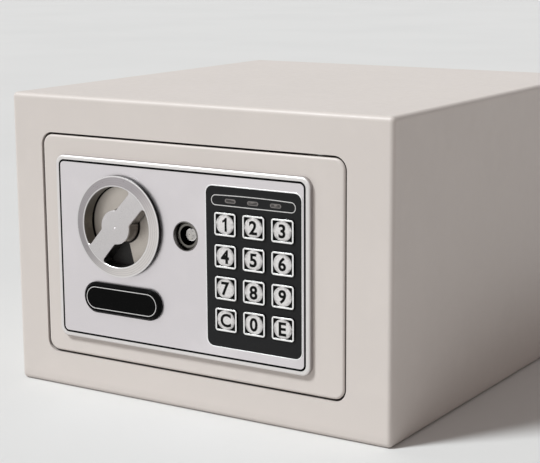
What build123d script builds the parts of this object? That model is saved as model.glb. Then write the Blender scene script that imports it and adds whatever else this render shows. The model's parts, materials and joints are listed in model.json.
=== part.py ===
"""Electronic safe with a turn knob, an override key lock and a keypad.

Origin at the middle of the cabinet's base. +X is the viewer's right, +Y goes from the door to the
back, +Z is up. All sizes in millimetres.
"""
from build123d import *
from math import cos, radians, sin
import os

os.makedirs("parts", exist_ok=True)

# Cabinet
body_w = 230.0
body_d = 240.0
body_h = 158.0
body_sheet = 2.0
body_edge_r = 2.5
back_edge_r = 1.2
back_sheet = 2.0
fixing_hole_r = 5.0
fixing_spacing = 120.0
mat_t = 2.5
mat_hole_r = 11.0
mat_gap = 0.5
mat_front_gap = 16.0

# Door and its opening
door_t = 3.0
door_gap = 1.0
door_corner_r = 6.0
door_edge_r = 1.5
margin_left = 20.7
margin_right = 25.4
margin_bottom = 19.5
margin_top = 21.0

# Hinge
hinge_inset = 16.0
hinge_behind = 2.6
hinge_pin_r = 2.5
hinge_run = 0.06
hinge_tab_t = 3.0
hinge_tab_w = 24.0
hinge_tab_depth = 14.0
hinge_tab_step = 1.0
hinge_tab_foot = 10.0
hinge_lug_w = 12.0
hinge_lug_h = 12.0
hinge_lug_depth = 9.0

# Silver panel on the door
panel_w = 156.2
panel_h = 97.8
panel_t = 2.5
panel_corner_r = 5.0
panel_edge_r = 1.2
panel_dx = -3.73
panel_dz = -0.1
panel_rim = 2.3
panel_wall = 0.9
panel_side_wall = 2.4
seam_w = 1.1
seam_drop = 0.3
seam_corner_r = 3.4
face_sheet_t = 0.7

# Spare width of the face, shared in these parts: left of the knob, knob to lock, lock to keypad, and right
spare_left = 12.1
spare_knob_lock = 7.4
spare_lock_keypad = 5.2
spare_right = 1.1

# Turn knob
knob_dz = 14.3
knob_r = 26.5
knob_inner_r = 21.0
knob_tube_r = 22.9
knob_proud = 3.4
knob_crown = 0.8
knob_band_drop = 1.2
knob_band_flat = 0.5
knob_flange_t = 1.7
knob_bar_w = 11.0
knob_bar_angle = 48.0
knob_hub_r = 8.9
knob_pocket_r = 1.4
knob_edge_r = 0.4
knob_dimple_r = 0.8
knob_dimple_depth = 0.35
knob_floor_gap = 1.1
hub_floor_gap = 0.5
knob_turn = 90.0

# Cup behind the knob
cup_depth = 4.6
cup_to_plate = 2.7
cup_inner_r = 23.4
cup_wall = 1.2
mark_start = -119.0
mark_sweep = 44.0
mark_t = 0.6

# Spindle and bolt work
spindle_r = 4.0
spindle_run = 0.05
spindle_square = 5.6
spindle_grip = 5.0
bush_r = 5.5
bush_flange_r = 7.5
bush_flange_t = 1.5
plate_t = 1.5
crank_t = 2.0
crank_radius = 8.0
crank_pin_r = 2.5
crank_hub_wall = 4.0
crank_pin_wall = 2.5
crank_slot_side = 0.6
clip_r = 5.5
clip_t = 1.0
carriage_t = 2.0
layer_gap = 0.4
bolt_r = 8.0
bolt_run = 0.08
bolt_tip_chamfer = 1.5
bolt_end_inset = 20.0
bolt_wall_gap = 0.8
bolt_tip_inset = 2.3
bolt_len = 26.0
guide_neck_r = 2.5
guide_head_r = 4.5
guide_head_t = 1.5
guide_side = 0.3
tooth_w = 4.0
tooth_h = 6.0
plunger_r = 2.3
plunger_side = 1.3
plunger_below_tooth = 0.6
collar_r = 3.3
collar_t = 1.0
collar_below_tip = 2.4
spring_wire_r = 0.25
spring_r = 2.9
spring_turns = 4
solenoid_w = 16.0
solenoid_wall = 1.2
coil_r = 5.8
coil_below_tip = 8.5
guide_from_tip = 10.0
guide_end = 3.0
guide_cup_gap = 2.5
guide_sheet = 2.0
column_w = 24.0
arm_low_reach = 32.0
arm_low_top = 6.0
arm_low_h = 14.5
arm_high_below = 8.2
arm_high_above = 13.0
arm_past_pin = 8.0
pin_past_carriage = 1.2
flange_past_bolt = 2.0
bolt_nut_r = 5.0
bolt_nut_t = 3.0
bolt_stud_r = 3.0
bolt_stud_past = 1.0

# Override key lock
lock_dz = 13.3
lock_r = 7.7
lock_proud = 0.2
lock_mouth_r = 7.2
lock_step_r = 6.0
lock_bore_r = 5.0
lock_step_depth = 2.4
plug_r = 3.5
plug_run = 0.06
plug_depth = 5.0
lock_len = 24.5
keyway_depth = 4.0
notch_w = 1.2
notch_depth = 0.6
cam_len = 18.0
cam_w = 9.0
cam_t = 2.0
lock_nut_r = 10.0
lock_nut_t = 3.0

# Keypad
keypad_dz = -0.1
keypad_w = 55.2
keypad_h = 81.2
keypad_corner_r = 3.8
keypad_proud = 0.2
keypad_face_t = 1.8
keypad_rim_w = 2.5
key_w = 12.6
key_h = 11.6
key_corner_r = 1.4
key_side_gap = 0.3
key_pitch_x = 16.6
key_pitch_z = 16.1
keys_dx = 0.7
keys_dz = -2.2
key_proud = 0.8
key_rim = 0.8
key_well = 0.5
key_dome_r = 4.9
key_dome_up = 0.3
key_flange = 0.8
key_flange_t = 0.8
key_stem_r = 2.5
key_stem_len = 0.7
key_travel = 0.9
lens_w = 6.3
lens_h = 2.1
lens_pitch = 13.1
lens_dz = 33.7
name_w = 50.2
name_h = 16.5
name_t = 2.4
name_dx = -34.7
name_dz = -24.8
name_line_inset = 2.3
name_line_w = 0.5
name_line_depth = 0.25
name_bevel = 1.2

# Circuit boards
board_t = 1.6
keypad_board_t = 1.2
switch_h = 1.0
board_gap = 0.4
switch_side = 6.0
control_gap = 6.0
connector_below = 34.0
connector_w = 20.0
connector_h = 5.0
control_nut_gap = 3.9
control_side_gap = 1.0
standoff_inset_x = 4.0
standoff_inset_z = 2.9

# Rear cover, batteries and reset button
cover_depth = 40.0
cover_sheet = 1.5
cover_corner_r = 4.0
cover_left_inset = 8.3
cover_lug_gap = 1.0
cover_low_inset = 4.5
cover_high_inset = 5.0
cell_r = 7.1
cell_len = 50.5
cell_count = 4
cell_pitch = 14.4
tray_wall = 1.2
lid_t = 2.0
lid_travel = 20.0
reset_r = 4.0
reset_side_gap = 0.4
reset_travel = 2.0
post_r = 3.0
post_inset = 5.6
post_gap = 0.9
post_side = 8.0
post_low_side = 5.2
reset_side = 7.6
reset_below = 17.0
screw_head_r = 3.6
screw_head_t = 1.6
screw_shank_r = 1.5


def front(y):
    """Plane facing the viewer at depth y: its x is +X, its y is +Z, and a positive amount goes to -Y."""
    return Plane.XZ.offset(-y)


def side(x):
    """Plane facing +X: its x is +Y and its y is +Z."""
    return Plane.YZ.offset(x)


def polar(centre, r, angle):
    """Point at radius r and angle in degrees from a centre."""
    return (centre[0] + r * cos(radians(angle)), centre[1] + r * sin(radians(angle)))


# Places worked out from the driving sizes
front_y = -body_d / 2
door_left = -body_w / 2 + margin_left
door_right = body_w / 2 - margin_right
door_bottom = margin_bottom
door_top = body_h - margin_top
door_w = door_right - door_left
door_h = door_top - door_bottom
door_x = (door_left + door_right) / 2
door_z = (door_bottom + door_top) / 2
opening_bottom = door_bottom - door_gap
opening_top = door_top + door_gap
door_back = front_y + door_t
frame_back = front_y + body_sheet
inside_w = body_w - 2 * body_sheet
inside_h = body_h - 2 * body_sheet

hinge_x = door_right - hinge_inset
hinge_y = door_back + hinge_behind

cover_left = door_left + cover_left_inset
cover_right = hinge_x - hinge_lug_w / 2 - cover_lug_gap
cover_low = door_bottom + cover_low_inset
cover_high = door_top - cover_high_inset
cover_x = (cover_left + cover_right) / 2
cover_z = (cover_low + cover_high) / 2
cover_w = cover_right - cover_left
cover_h = cover_high - cover_low
cover_back = door_back + cover_depth
cover_inside_back = cover_back - cover_sheet

panel_x = door_x + panel_dx
panel_z = door_z + panel_dz
panel_front = front_y - panel_t
face_sheet_back = panel_front + face_sheet_t
seam_out_w = panel_w - 2 * panel_rim
seam_out_h = panel_h - 2 * panel_rim
face_w = seam_out_w - 2 * seam_w
face_h = seam_out_h - 2 * seam_w

spare_parts = spare_left + spare_knob_lock + spare_lock_keypad + spare_right
spare = (face_w - 2 * knob_r - 2 * lock_r - keypad_w) / spare_parts
knob_x = panel_x - face_w / 2 + spare * spare_left + knob_r
knob_z = panel_z + knob_dz
knob_front = panel_front - knob_proud
knob_rim_front = knob_front + knob_band_drop
knob_flange_back = knob_rim_front + knob_flange_t
cup_floor = panel_front + cup_depth
cup_outer_r = cup_inner_r + cup_wall
cup_back = cup_floor + cup_wall
knob_back = cup_floor - knob_floor_gap
hub_back = cup_floor - hub_floor_gap

plate_front = cup_back + cup_to_plate
plate_back = plate_front + plate_t
bush_back = plate_back + bush_flange_t
crank_front = bush_back + layer_gap
crank_back = crank_front + crank_t
clip_back = crank_back + clip_t
carriage_front = clip_back + layer_gap
carriage_back = carriage_front + carriage_t
bolt_y = carriage_back + bolt_r + bolt_wall_gap
bolt_travel = 2 * crank_radius * sin(radians(knob_turn / 2))
pin_rest_x = knob_x + crank_radius * sin(radians(knob_turn / 2))
pin_rest_z = knob_z + crank_radius * cos(radians(knob_turn / 2))
bolt_tip_x = door_left + bolt_tip_inset
bolt_root_x = bolt_tip_x + bolt_len
bolt_zs = [cover_low + bolt_end_inset, cover_high - bolt_end_inset]

lock_x = knob_x + knob_r + spare * spare_knob_lock + lock_r
lock_z = panel_z + lock_dz
lock_front = panel_front - lock_proud
lock_back = lock_front + lock_len
plug_front = panel_front + plug_depth
cam_front = lock_back + layer_gap

keypad_x = lock_x + lock_r + spare * spare_lock_keypad + keypad_w / 2
keypad_z = panel_z + keypad_dz
keypad_front = panel_front - keypad_proud
keypad_face_back = keypad_front + keypad_face_t
key_front = keypad_front - key_proud
key_flange_front = keypad_face_back + layer_gap
key_flange_back = key_flange_front + key_flange_t
key_end = key_flange_back + key_stem_len
switch_top = key_end + key_travel + layer_gap
keypad_board_front = switch_top + switch_h
keypad_board_back = keypad_board_front + keypad_board_t
window_w = keypad_w - 2 * keypad_rim_w
window_h = keypad_h - 2 * keypad_rim_w
control_front = door_back + control_gap
control_back = control_front + board_t

# Cabinet: a folded and welded shell with its front frame in one, open at the back
with BuildPart() as body_shell:
    with BuildSketch(Plane.XY):
        Rectangle(body_w, body_d)
    extrude(amount=body_h)
    fillet(body_shell.edges() - body_shell.edges().group_by(Axis.Y)[-1], radius=body_edge_r)
    fillet(body_shell.faces().sort_by(Axis.Y)[-1].edges(), radius=back_edge_r)
    with BuildSketch(front(body_d / 2)):
        with Locations((0, body_h / 2)):
            RectangleRounded(inside_w, inside_h, max(body_edge_r - body_sheet, 0.3))
    extrude(amount=body_d - body_sheet, mode=Mode.SUBTRACT)
    with BuildSketch(front(frame_back)):
        with Locations((door_x, door_z)):
            RectangleRounded(door_w + 2 * door_gap, door_h + 2 * door_gap, door_corner_r + door_gap)
    extrude(amount=body_sheet, mode=Mode.SUBTRACT)
    with BuildSketch(Plane.XY):
        with GridLocations(fixing_spacing, 0, 2, 1):
            Circle(fixing_hole_r)
    extrude(amount=body_sheet, mode=Mode.SUBTRACT)
body_shell.part.label = "body_shell"
export_step(body_shell.part, "parts/body_shell.step")

# Back panel, welded into the open back, with two fixing holes
with BuildPart() as back_panel:
    with BuildSketch(front(body_d / 2)):
        with Locations((0, body_h / 2)):
            RectangleRounded(inside_w, inside_h, max(body_edge_r - body_sheet, 0.3))
            with GridLocations(fixing_spacing, 0, 2, 1):
                Circle(fixing_hole_r, mode=Mode.SUBTRACT)
    extrude(amount=back_sheet)
back_panel.part.label = "back_panel"
export_step(back_panel.part, "parts/back_panel.step")

# Mat that lines the floor, with clearance round the fixing bolts' heads
mat_front = front_y + mat_front_gap
mat_back = body_d / 2 - back_sheet - mat_gap
with BuildPart() as floor_mat:
    with BuildSketch(Plane.XY.offset(body_sheet)):
        with Locations((0, (mat_front + mat_back) / 2)):
            RectangleRounded(inside_w - 2 * mat_gap, mat_back - mat_front, 3)
        with GridLocations(fixing_spacing, 0, 2, 1):
            Circle(mat_hole_r, mode=Mode.SUBTRACT)
    extrude(amount=mat_t)
floor_mat.part.label = "floor_mat"
export_step(floor_mat.part, "parts/floor_mat.step")

# Strike angle behind the frame's left side: bolt holes, and a tab that the closed door stops on
strike_x = door_left - door_gap
strike_low = door_bottom + 2
strike_high = door_top - 2
strike_back = bolt_y + bolt_r + 6
strike_foot_w = 14.0
with BuildPart() as strike_angle:
    with BuildSketch(Plane.XY.offset(strike_low)):
        with BuildLine():
            Polyline(
                (strike_x, frame_back), (strike_x, strike_back),
                (strike_x - body_sheet, strike_back), (strike_x - body_sheet, frame_back + body_sheet),
                (strike_x - strike_foot_w, frame_back + body_sheet), (strike_x - strike_foot_w, frame_back),
                close=True,
            )
        make_face()
    extrude(amount=strike_high - strike_low)
    with BuildSketch(side(strike_x)):
        for z in bolt_zs:
            with Locations((bolt_y, z)):
                Circle(bolt_r + 1.2)
    extrude(amount=-body_sheet, mode=Mode.SUBTRACT)
    with BuildSketch(front(door_back + layer_gap)):
        with Locations((strike_x + 1.4, door_z)):
            RectangleRounded(4.8, 14, 1)
    extrude(amount=-body_sheet)
strike_angle.part.label = "strike_angle"
export_step(strike_angle.part, "parts/strike_angle.step")


# Hinge tabs welded behind the frame below and above the opening, each with its pin's bore
with BuildPart() as hinge_tabs:
    for face_z, away in ((opening_bottom - hinge_tab_step, -1), (opening_top + hinge_tab_step, 1)):
        with BuildSketch(Plane.XY.offset(face_z)):
            with Locations((hinge_x, frame_back + hinge_tab_depth / 2)):
                Rectangle(hinge_tab_w, hinge_tab_depth)
            with Locations((hinge_x, hinge_y)):
                Circle(hinge_pin_r + hinge_run, mode=Mode.SUBTRACT)
        extrude(amount=away * hinge_tab_t)
        with BuildSketch(front(frame_back)):
            with Locations((hinge_x, face_z + away * (hinge_tab_t + hinge_tab_foot / 2))):
                Rectangle(hinge_tab_w, hinge_tab_foot)
        extrude(amount=-body_sheet)
    fillet(hinge_tabs.edges().filter_by(Axis.Z).group_by(Axis.Y)[-1], radius=4)
hinge_tabs.part.label = "hinge_tabs"
export_step(hinge_tabs.part, "parts/hinge_tabs.step")

# Door plate, with openings for the knob's cup, the lock and the keypad
with BuildPart() as door_plate:
    with BuildSketch(front(door_back)):
        with Locations((door_x, door_z)):
            RectangleRounded(door_w, door_h, door_corner_r)
    extrude(amount=door_t)
    fillet(door_plate.faces().sort_by(Axis.Y)[0].edges(), radius=door_edge_r)
    with BuildSketch(front(door_back)):
        with Locations((knob_x, knob_z)):
            Circle(cup_outer_r)
        with Locations((lock_x, lock_z)):
            Circle(lock_r)
        with Locations((keypad_x, keypad_z)):
            RectangleRounded(window_w, window_h, keypad_corner_r - keypad_rim_w)
    extrude(amount=door_t, mode=Mode.SUBTRACT)
door_plate.part.label = "door_plate"
export_step(door_plate.part, "parts/door_plate.step")

# Hinge lugs on the door's back, and the pins pressed into them
lug_zs = [door_bottom, door_top - hinge_lug_h]
with BuildPart() as hinge_lugs:
    for z in lug_zs:
        with BuildSketch(Plane.XY.offset(z)):
            with Locations((hinge_x, door_back + hinge_lug_depth / 2)):
                Rectangle(hinge_lug_w, hinge_lug_depth)
            with Locations((hinge_x, hinge_y)):
                Circle(hinge_pin_r, mode=Mode.SUBTRACT)
        extrude(amount=hinge_lug_h)
    fillet(hinge_lugs.edges().filter_by(Axis.Z).group_by(Axis.Y)[-1], radius=2)
hinge_lugs.part.label = "hinge_lugs"
export_step(hinge_lugs.part, "parts/hinge_lugs.step")

pin_reach = door_gap + hinge_tab_step + hinge_tab_t - 0.3
with BuildPart() as hinge_pins:
    for z in (lug_zs[0] - pin_reach, lug_zs[1]):
        with BuildSketch(Plane.XY.offset(z)):
            with Locations((hinge_x, hinge_y)):
                Circle(hinge_pin_r)
        extrude(amount=hinge_lug_h + pin_reach)
    chamfer(hinge_pins.faces().sort_by(Axis.Z)[0].edges(), length=0.5)
    chamfer(hinge_pins.faces().sort_by(Axis.Z)[-1].edges(), length=0.5)
hinge_pins.part.label = "hinge_pins"
export_step(hinge_pins.part, "parts/hinge_pins.step")


def panel_openings(clear=0.0, mode=Mode.SUBTRACT):
    """The panel's three openings, drawn into the sketch that is being made."""
    with Locations((knob_x, knob_z)):
        Circle(cup_outer_r + clear, mode=mode)
    with Locations((lock_x, lock_z)):
        Circle(lock_r + clear, mode=mode)
    with Locations((keypad_x, keypad_z)):
        RectangleRounded(
            keypad_w + 2 * clear, keypad_h + 2 * clear, keypad_corner_r + clear, mode=mode
        )


# Panel moulding: a light bezel round a recess for the face sheet, hollow behind
with BuildPart() as panel_frame:
    with BuildSketch(front(front_y)):
        with Locations((panel_x, panel_z)):
            RectangleRounded(panel_w, panel_h, panel_corner_r)
    extrude(amount=panel_t)
    fillet(panel_frame.faces().sort_by(Axis.Y)[0].edges(), radius=panel_edge_r)
    with BuildSketch(front(face_sheet_back)):
        with Locations((panel_x, panel_z)):
            RectangleRounded(seam_out_w, seam_out_h, seam_corner_r)
    extrude(amount=face_sheet_t, mode=Mode.SUBTRACT)
    with BuildSketch(front(front_y)):
        with Locations((panel_x, panel_z)):
            RectangleRounded(
                panel_w - 2 * panel_side_wall, panel_h - 2 * panel_side_wall, seam_corner_r
            )
        panel_openings(panel_side_wall)
    extrude(amount=panel_t - face_sheet_t - panel_wall, mode=Mode.SUBTRACT)
    with BuildSketch(front(front_y)):
        panel_openings(mode=Mode.ADD)
    extrude(amount=panel_t, mode=Mode.SUBTRACT)
panel_frame.part.label = "panel_frame"
export_step(panel_frame.part, "parts/panel_frame.step")

# Thin dark strip in the seam between the bezel and the face sheet
with BuildPart() as panel_seam_strip:
    with BuildSketch(front(face_sheet_back)):
        with Locations((panel_x, panel_z)):
            RectangleRounded(seam_out_w, seam_out_h, seam_corner_r)
            RectangleRounded(face_w, face_h, seam_corner_r - seam_w, mode=Mode.SUBTRACT)
    extrude(amount=face_sheet_t - seam_drop)
panel_seam_strip.part.label = "panel_seam_strip"
export_step(panel_seam_strip.part, "parts/panel_seam_strip.step")

# Satin face sheet
with BuildPart() as panel_sheet:
    with BuildSketch(front(face_sheet_back)):
        with Locations((panel_x, panel_z)):
            RectangleRounded(face_w, face_h, seam_corner_r - seam_w)
        panel_openings()
    extrude(amount=face_sheet_t)
panel_sheet.part.label = "panel_sheet"
export_step(panel_sheet.part, "parts/panel_sheet.step")

# Bare name plate with a sunk border line
with BuildPart() as name_plate:
    with BuildSketch(front(panel_front)):
        with Locations((panel_x + name_dx, panel_z + name_dz)):
            SlotOverall(name_w, name_h)
    extrude(amount=name_t)
    chamfer(name_plate.faces().sort_by(Axis.Y)[0].edges(), length=name_bevel)
    with BuildSketch(front(panel_front - name_t)):
        with Locations((panel_x + name_dx, panel_z + name_dz)):
            SlotOverall(name_w - 2 * name_line_inset, name_h - 2 * name_line_inset)
            SlotOverall(
                name_w - 2 * name_line_inset - 2 * name_line_w,
                name_h - 2 * name_line_inset - 2 * name_line_w,
                mode=Mode.SUBTRACT,
            )
    extrude(amount=-name_line_depth, mode=Mode.SUBTRACT)
name_plate.part.label = "name_plate"
export_step(name_plate.part, "parts/name_plate.step")


# Sector of the cup's floor that the dark mark fills
with BuildSketch(front(cup_floor)) as mark_shape:
    knob_centre = (knob_x, knob_z)
    mark_near, mark_far = knob_hub_r - 1.5, cup_inner_r - 0.5
    with BuildLine():
        CenterArc(knob_centre, mark_far, mark_start, mark_sweep)
        CenterArc(knob_centre, mark_near, mark_start, mark_sweep)
        for angle in (mark_start, mark_start + mark_sweep):
            Line(polar(knob_centre, mark_near, angle), polar(knob_centre, mark_far, angle))
    make_face()

# Cup behind the knob, its floor holding the dark position mark
with BuildPart() as knob_cup:
    with BuildSketch(front(cup_back)):
        with Locations((knob_x, knob_z)):
            Circle(cup_outer_r)
    extrude(amount=cup_back - panel_front)
    with BuildSketch(front(cup_floor)):
        with Locations((knob_x, knob_z)):
            Circle(cup_inner_r)
    extrude(amount=cup_depth, mode=Mode.SUBTRACT)
    with BuildSketch(front(cup_back)):
        with Locations((knob_x, knob_z)):
            Circle(bush_r)
    extrude(amount=cup_wall, mode=Mode.SUBTRACT)
    extrude(mark_shape.sketch, amount=-mark_t, mode=Mode.SUBTRACT)
knob_cup.part.label = "knob_cup"
export_step(knob_cup.part, "parts/knob_cup.step")

# Dark mark set into the cup's floor, seen past the knob's bar
with BuildPart() as position_mark:
    extrude(mark_shape.sketch, amount=-mark_t)
position_mark.part.label = "position_mark"
export_step(position_mark.part, "parts/position_mark.step")

# Turn knob: ring, crossing bar and hub in one, turned to a crowned face with a sloping outer band
band_inner_r = knob_inner_r + knob_band_flat
crown_ball_r = (band_inner_r**2 + knob_crown**2) / (2 * knob_crown)
crown_mid_y = knob_front - knob_crown + crown_ball_r - (crown_ball_r**2 - (band_inner_r / 2) ** 2) ** 0.5
with BuildPart() as turn_knob:
    with BuildSketch(Plane.XY.offset(knob_z)):
        with BuildLine():
            Polyline(
                (knob_x, knob_front - knob_crown), (knob_x, hub_back), (knob_x + knob_hub_r, hub_back),
                (knob_x + knob_hub_r, knob_back), (knob_x + knob_tube_r, knob_back),
                (knob_x + knob_tube_r, knob_flange_back), (knob_x + knob_r, knob_flange_back),
                (knob_x + knob_r, knob_rim_front), (knob_x + band_inner_r, knob_front),
            )
            ThreePointArc(
                (knob_x + band_inner_r, knob_front), (knob_x + band_inner_r / 2, crown_mid_y),
                (knob_x, knob_front - knob_crown),
            )
        make_face()
    revolve(axis=Axis((knob_x, 0, knob_z), (0, 1, 0)))
    with BuildSketch(front(hub_back)) as pockets:
        with Locations((knob_x, knob_z)):
            Circle(knob_inner_r)
            Rectangle(2 * knob_r, knob_bar_w, rotation=knob_bar_angle, mode=Mode.SUBTRACT)
            Circle(knob_hub_r, mode=Mode.SUBTRACT)
        fillet(pockets.vertices(), radius=knob_pocket_r)
    extrude(amount=hub_back - knob_front + knob_crown, mode=Mode.SUBTRACT)
    fillet(turn_knob.faces().filter_by(GeomType.SPHERE).edges(), radius=knob_edge_r)
    with BuildSketch(Plane.XY.offset(knob_z)):
        with BuildLine():
            Polyline(
                (knob_x, knob_front - knob_crown - 1), (knob_x, knob_front - knob_crown + knob_dimple_depth),
                (knob_x + knob_dimple_r, knob_front - knob_crown),
                (knob_x + knob_dimple_r, knob_front - knob_crown - 1), close=True,
            )
        make_face()
    revolve(axis=Axis((knob_x, 0, knob_z), (0, 1, 0)), mode=Mode.SUBTRACT)
    with BuildSketch(front(hub_back)):
        with Locations((knob_x, knob_z)):
            Circle(spindle_r)
    extrude(amount=spindle_grip, mode=Mode.SUBTRACT)
turn_knob.part.label = "turn_knob"
export_step(turn_knob.part, "parts/turn_knob.step")

# Spindle: round through the bush, square through the crank, and a clip behind
with BuildPart() as knob_spindle:
    with BuildSketch(front(crank_front)):
        with Locations((knob_x, knob_z)):
            Circle(spindle_r)
    extrude(amount=crank_front - hub_back + spindle_grip)
    with BuildSketch(front(crank_back)):
        with Locations((knob_x, knob_z)):
            Rectangle(spindle_square, spindle_square)
    extrude(amount=crank_t)
    with BuildSketch(front(clip_back)):
        with Locations((knob_x, knob_z)):
            Circle(clip_r)
    extrude(amount=clip_t)
knob_spindle.part.label = "knob_spindle"
export_step(knob_spindle.part, "parts/knob_spindle.step")

# Crank with its drive pin
with BuildPart() as drive_crank:
    with BuildSketch(front(crank_back)):
        with Locations((knob_x, knob_z)):
            Circle(spindle_r + crank_hub_wall)
        with Locations((pin_rest_x, pin_rest_z)):
            Circle(crank_pin_r + crank_pin_wall)
        make_hull()
        with Locations((knob_x, knob_z)):
            Rectangle(spindle_square, spindle_square, mode=Mode.SUBTRACT)
    extrude(amount=crank_t)
    with BuildSketch(front(carriage_back + pin_past_carriage)):
        with Locations((pin_rest_x, pin_rest_z)):
            Circle(crank_pin_r)
    extrude(amount=carriage_back + pin_past_carriage - crank_back)
drive_crank.part.label = "drive_crank"
export_step(drive_crank.part, "parts/drive_crank.step")

# Mechanism plate behind the cup: carries the bush, the guide pins and the solenoid
plate_left = bolt_root_x
plate_right = lock_x + lock_r + 3.5
plate_low = cover_low + cover_sheet + 1.0
plate_high = cover_high - cover_sheet - 6.5
with BuildPart() as mechanism_plate:
    with BuildSketch(front(plate_back)):
        with Locations(((plate_left + plate_right) / 2, (plate_low + plate_high) / 2)):
            RectangleRounded(plate_right - plate_left, plate_high - plate_low, 4)
        with Locations((knob_x, knob_z)):
            Circle(bush_r, mode=Mode.SUBTRACT)
        with Locations((lock_x, lock_z)):
            Circle(lock_r, mode=Mode.SUBTRACT)
    extrude(amount=plate_t)
mechanism_plate.part.label = "mechanism_plate"
export_step(mechanism_plate.part, "parts/mechanism_plate.step")

# Flanged bush for the spindle
with BuildPart() as spindle_bush:
    with BuildSketch(front(plate_back)):
        with Locations((knob_x, knob_z)):
            Circle(bush_r)
    extrude(amount=plate_back - cup_floor)
    with BuildSketch(front(bush_back)):
        with Locations((knob_x, knob_z)):
            Circle(bush_flange_r)
    extrude(amount=bush_flange_t)
    with BuildSketch(front(bush_back)):
        with Locations((knob_x, knob_z)):
            Circle(spindle_r + spindle_run)
    extrude(amount=bush_back - cup_floor, mode=Mode.SUBTRACT)
spindle_bush.part.label = "spindle_bush"
export_step(spindle_bush.part, "parts/spindle_bush.step")

# Studs on the door's back: four hold the mechanism plate with nuts, four carry the control board
stud_r = 2.0
nut_t = 2.4
stud_inset = 5.5
stud_xs = (plate_left + stud_inset, plate_right - stud_inset)
stud_zs = (plate_low + stud_inset, plate_high - stud_inset)
reset_x = cover_right - reset_side
reset_z = cover_high - reset_below
control_left = lock_x + lock_nut_r + control_nut_gap
control_right = cover_right - cover_sheet - control_side_gap
control_w = control_right - control_left
control_h = cover_h - 2 * (post_inset + post_r + post_gap)
control_x = (control_left + control_right) / 2
control_z = cover_z
standoff_dx = control_w / 2 - standoff_inset_x
standoff_dz = control_h / 2 - standoff_inset_z
with BuildPart() as door_studs:
    for x in stud_xs:
        for z in stud_zs:
            with BuildSketch(front(plate_front)):
                with Locations((x, z)):
                    Circle(stud_r + 1.5)
            extrude(amount=plate_front - door_back)
            with BuildSketch(front(plate_back + nut_t)):
                with Locations((x, z)):
                    RegularPolygon(stud_r + 1.6, 6)
            extrude(amount=nut_t)
    with BuildSketch(front(control_front)):
        with Locations((control_x, control_z)):
            with GridLocations(2 * standoff_dx, 2 * standoff_dz, 2, 2):
                Circle(stud_r + 0.4)
    extrude(amount=control_gap)
door_studs.part.label = "door_studs"
export_step(door_studs.part, "parts/door_studs.step")

# Bolt carriage: a slotted plate on guide pins, its left edge bent back to hold the bolts
column_right = bolt_root_x + column_w
arm_high_z = (knob_z - arm_high_below, knob_z + arm_high_above)
arm_low_z = (door_z - arm_low_top - arm_low_h, door_z - arm_low_top)
arm_low_right = column_right + arm_low_reach
plunger_x = arm_low_right - tooth_w - plunger_side - plunger_r
guide_left_x = bolt_root_x + 7.0
guide_right_x = column_right + 11.5
arm_mid_z = (arm_low_z[0] + arm_low_z[1]) / 2
guides = [
    (guide_left_x, arm_low_z[0] - 8.0), (guide_left_x, arm_high_z[1] + 5.0), (guide_right_x, arm_mid_z)
]
flange_low = bolt_zs[0] - bolt_r
flange_high = bolt_zs[1] + bolt_r
flange_back = bolt_y + bolt_r + flange_past_bolt
slot_w = 2 * (guide_neck_r + guide_side)
with BuildPart() as bolt_carriage:
    with BuildSketch(front(carriage_back)):
        with BuildLine():
            Polyline(
                (bolt_root_x, flange_low), (column_right, flange_low), (column_right, arm_low_z[0]),
                (arm_low_right - tooth_w, arm_low_z[0]), (arm_low_right - tooth_w, arm_low_z[1]),
                (column_right, arm_low_z[1]), (column_right, arm_high_z[0]),
                (pin_rest_x + arm_past_pin, arm_high_z[0]), (pin_rest_x + arm_past_pin, arm_high_z[1]),
                (column_right, arm_high_z[1]), (column_right, flange_high), (bolt_root_x, flange_high),
                close=True,
            )
        make_face()
        with Locations((pin_rest_x, (pin_rest_z + knob_z + crank_radius) / 2)):
            SlotOverall(
                knob_z + crank_radius - pin_rest_z + 2 * (crank_pin_r + crank_slot_side),
                2 * (crank_pin_r + crank_slot_side), rotation=90, mode=Mode.SUBTRACT,
            )
        for x, z in guides:
            with Locations((x + bolt_travel / 2, z)):
                SlotOverall(bolt_travel + slot_w, slot_w, mode=Mode.SUBTRACT)
    extrude(amount=carriage_t)
    with BuildSketch(Plane.XY.offset(flange_low)):
        with Locations((bolt_root_x + carriage_t / 2, (carriage_front + flange_back) / 2)):
            Rectangle(carriage_t, flange_back - carriage_front)
    extrude(amount=flange_high - flange_low)
    with BuildSketch(side(bolt_root_x)):
        for z in bolt_zs:
            with Locations((bolt_y, z)):
                Circle(bolt_stud_r)
    extrude(amount=carriage_t, mode=Mode.SUBTRACT)
bolt_carriage.part.label = "bolt_carriage"
export_step(bolt_carriage.part, "parts/bolt_carriage.step")

# Locking tooth, a block on the end of the carriage's lower arm that the plunger stands behind
with BuildPart() as lock_tooth:
    with BuildSketch(front(carriage_back)):
        with Locations((arm_low_right - tooth_w / 2, (arm_low_z[0] - tooth_h + arm_low_z[1]) / 2)):
            Rectangle(tooth_w, arm_low_z[1] - arm_low_z[0] + tooth_h)
    extrude(amount=carriage_t)
lock_tooth.part.label = "lock_tooth"
export_step(lock_tooth.part, "parts/lock_tooth.step")

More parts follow.
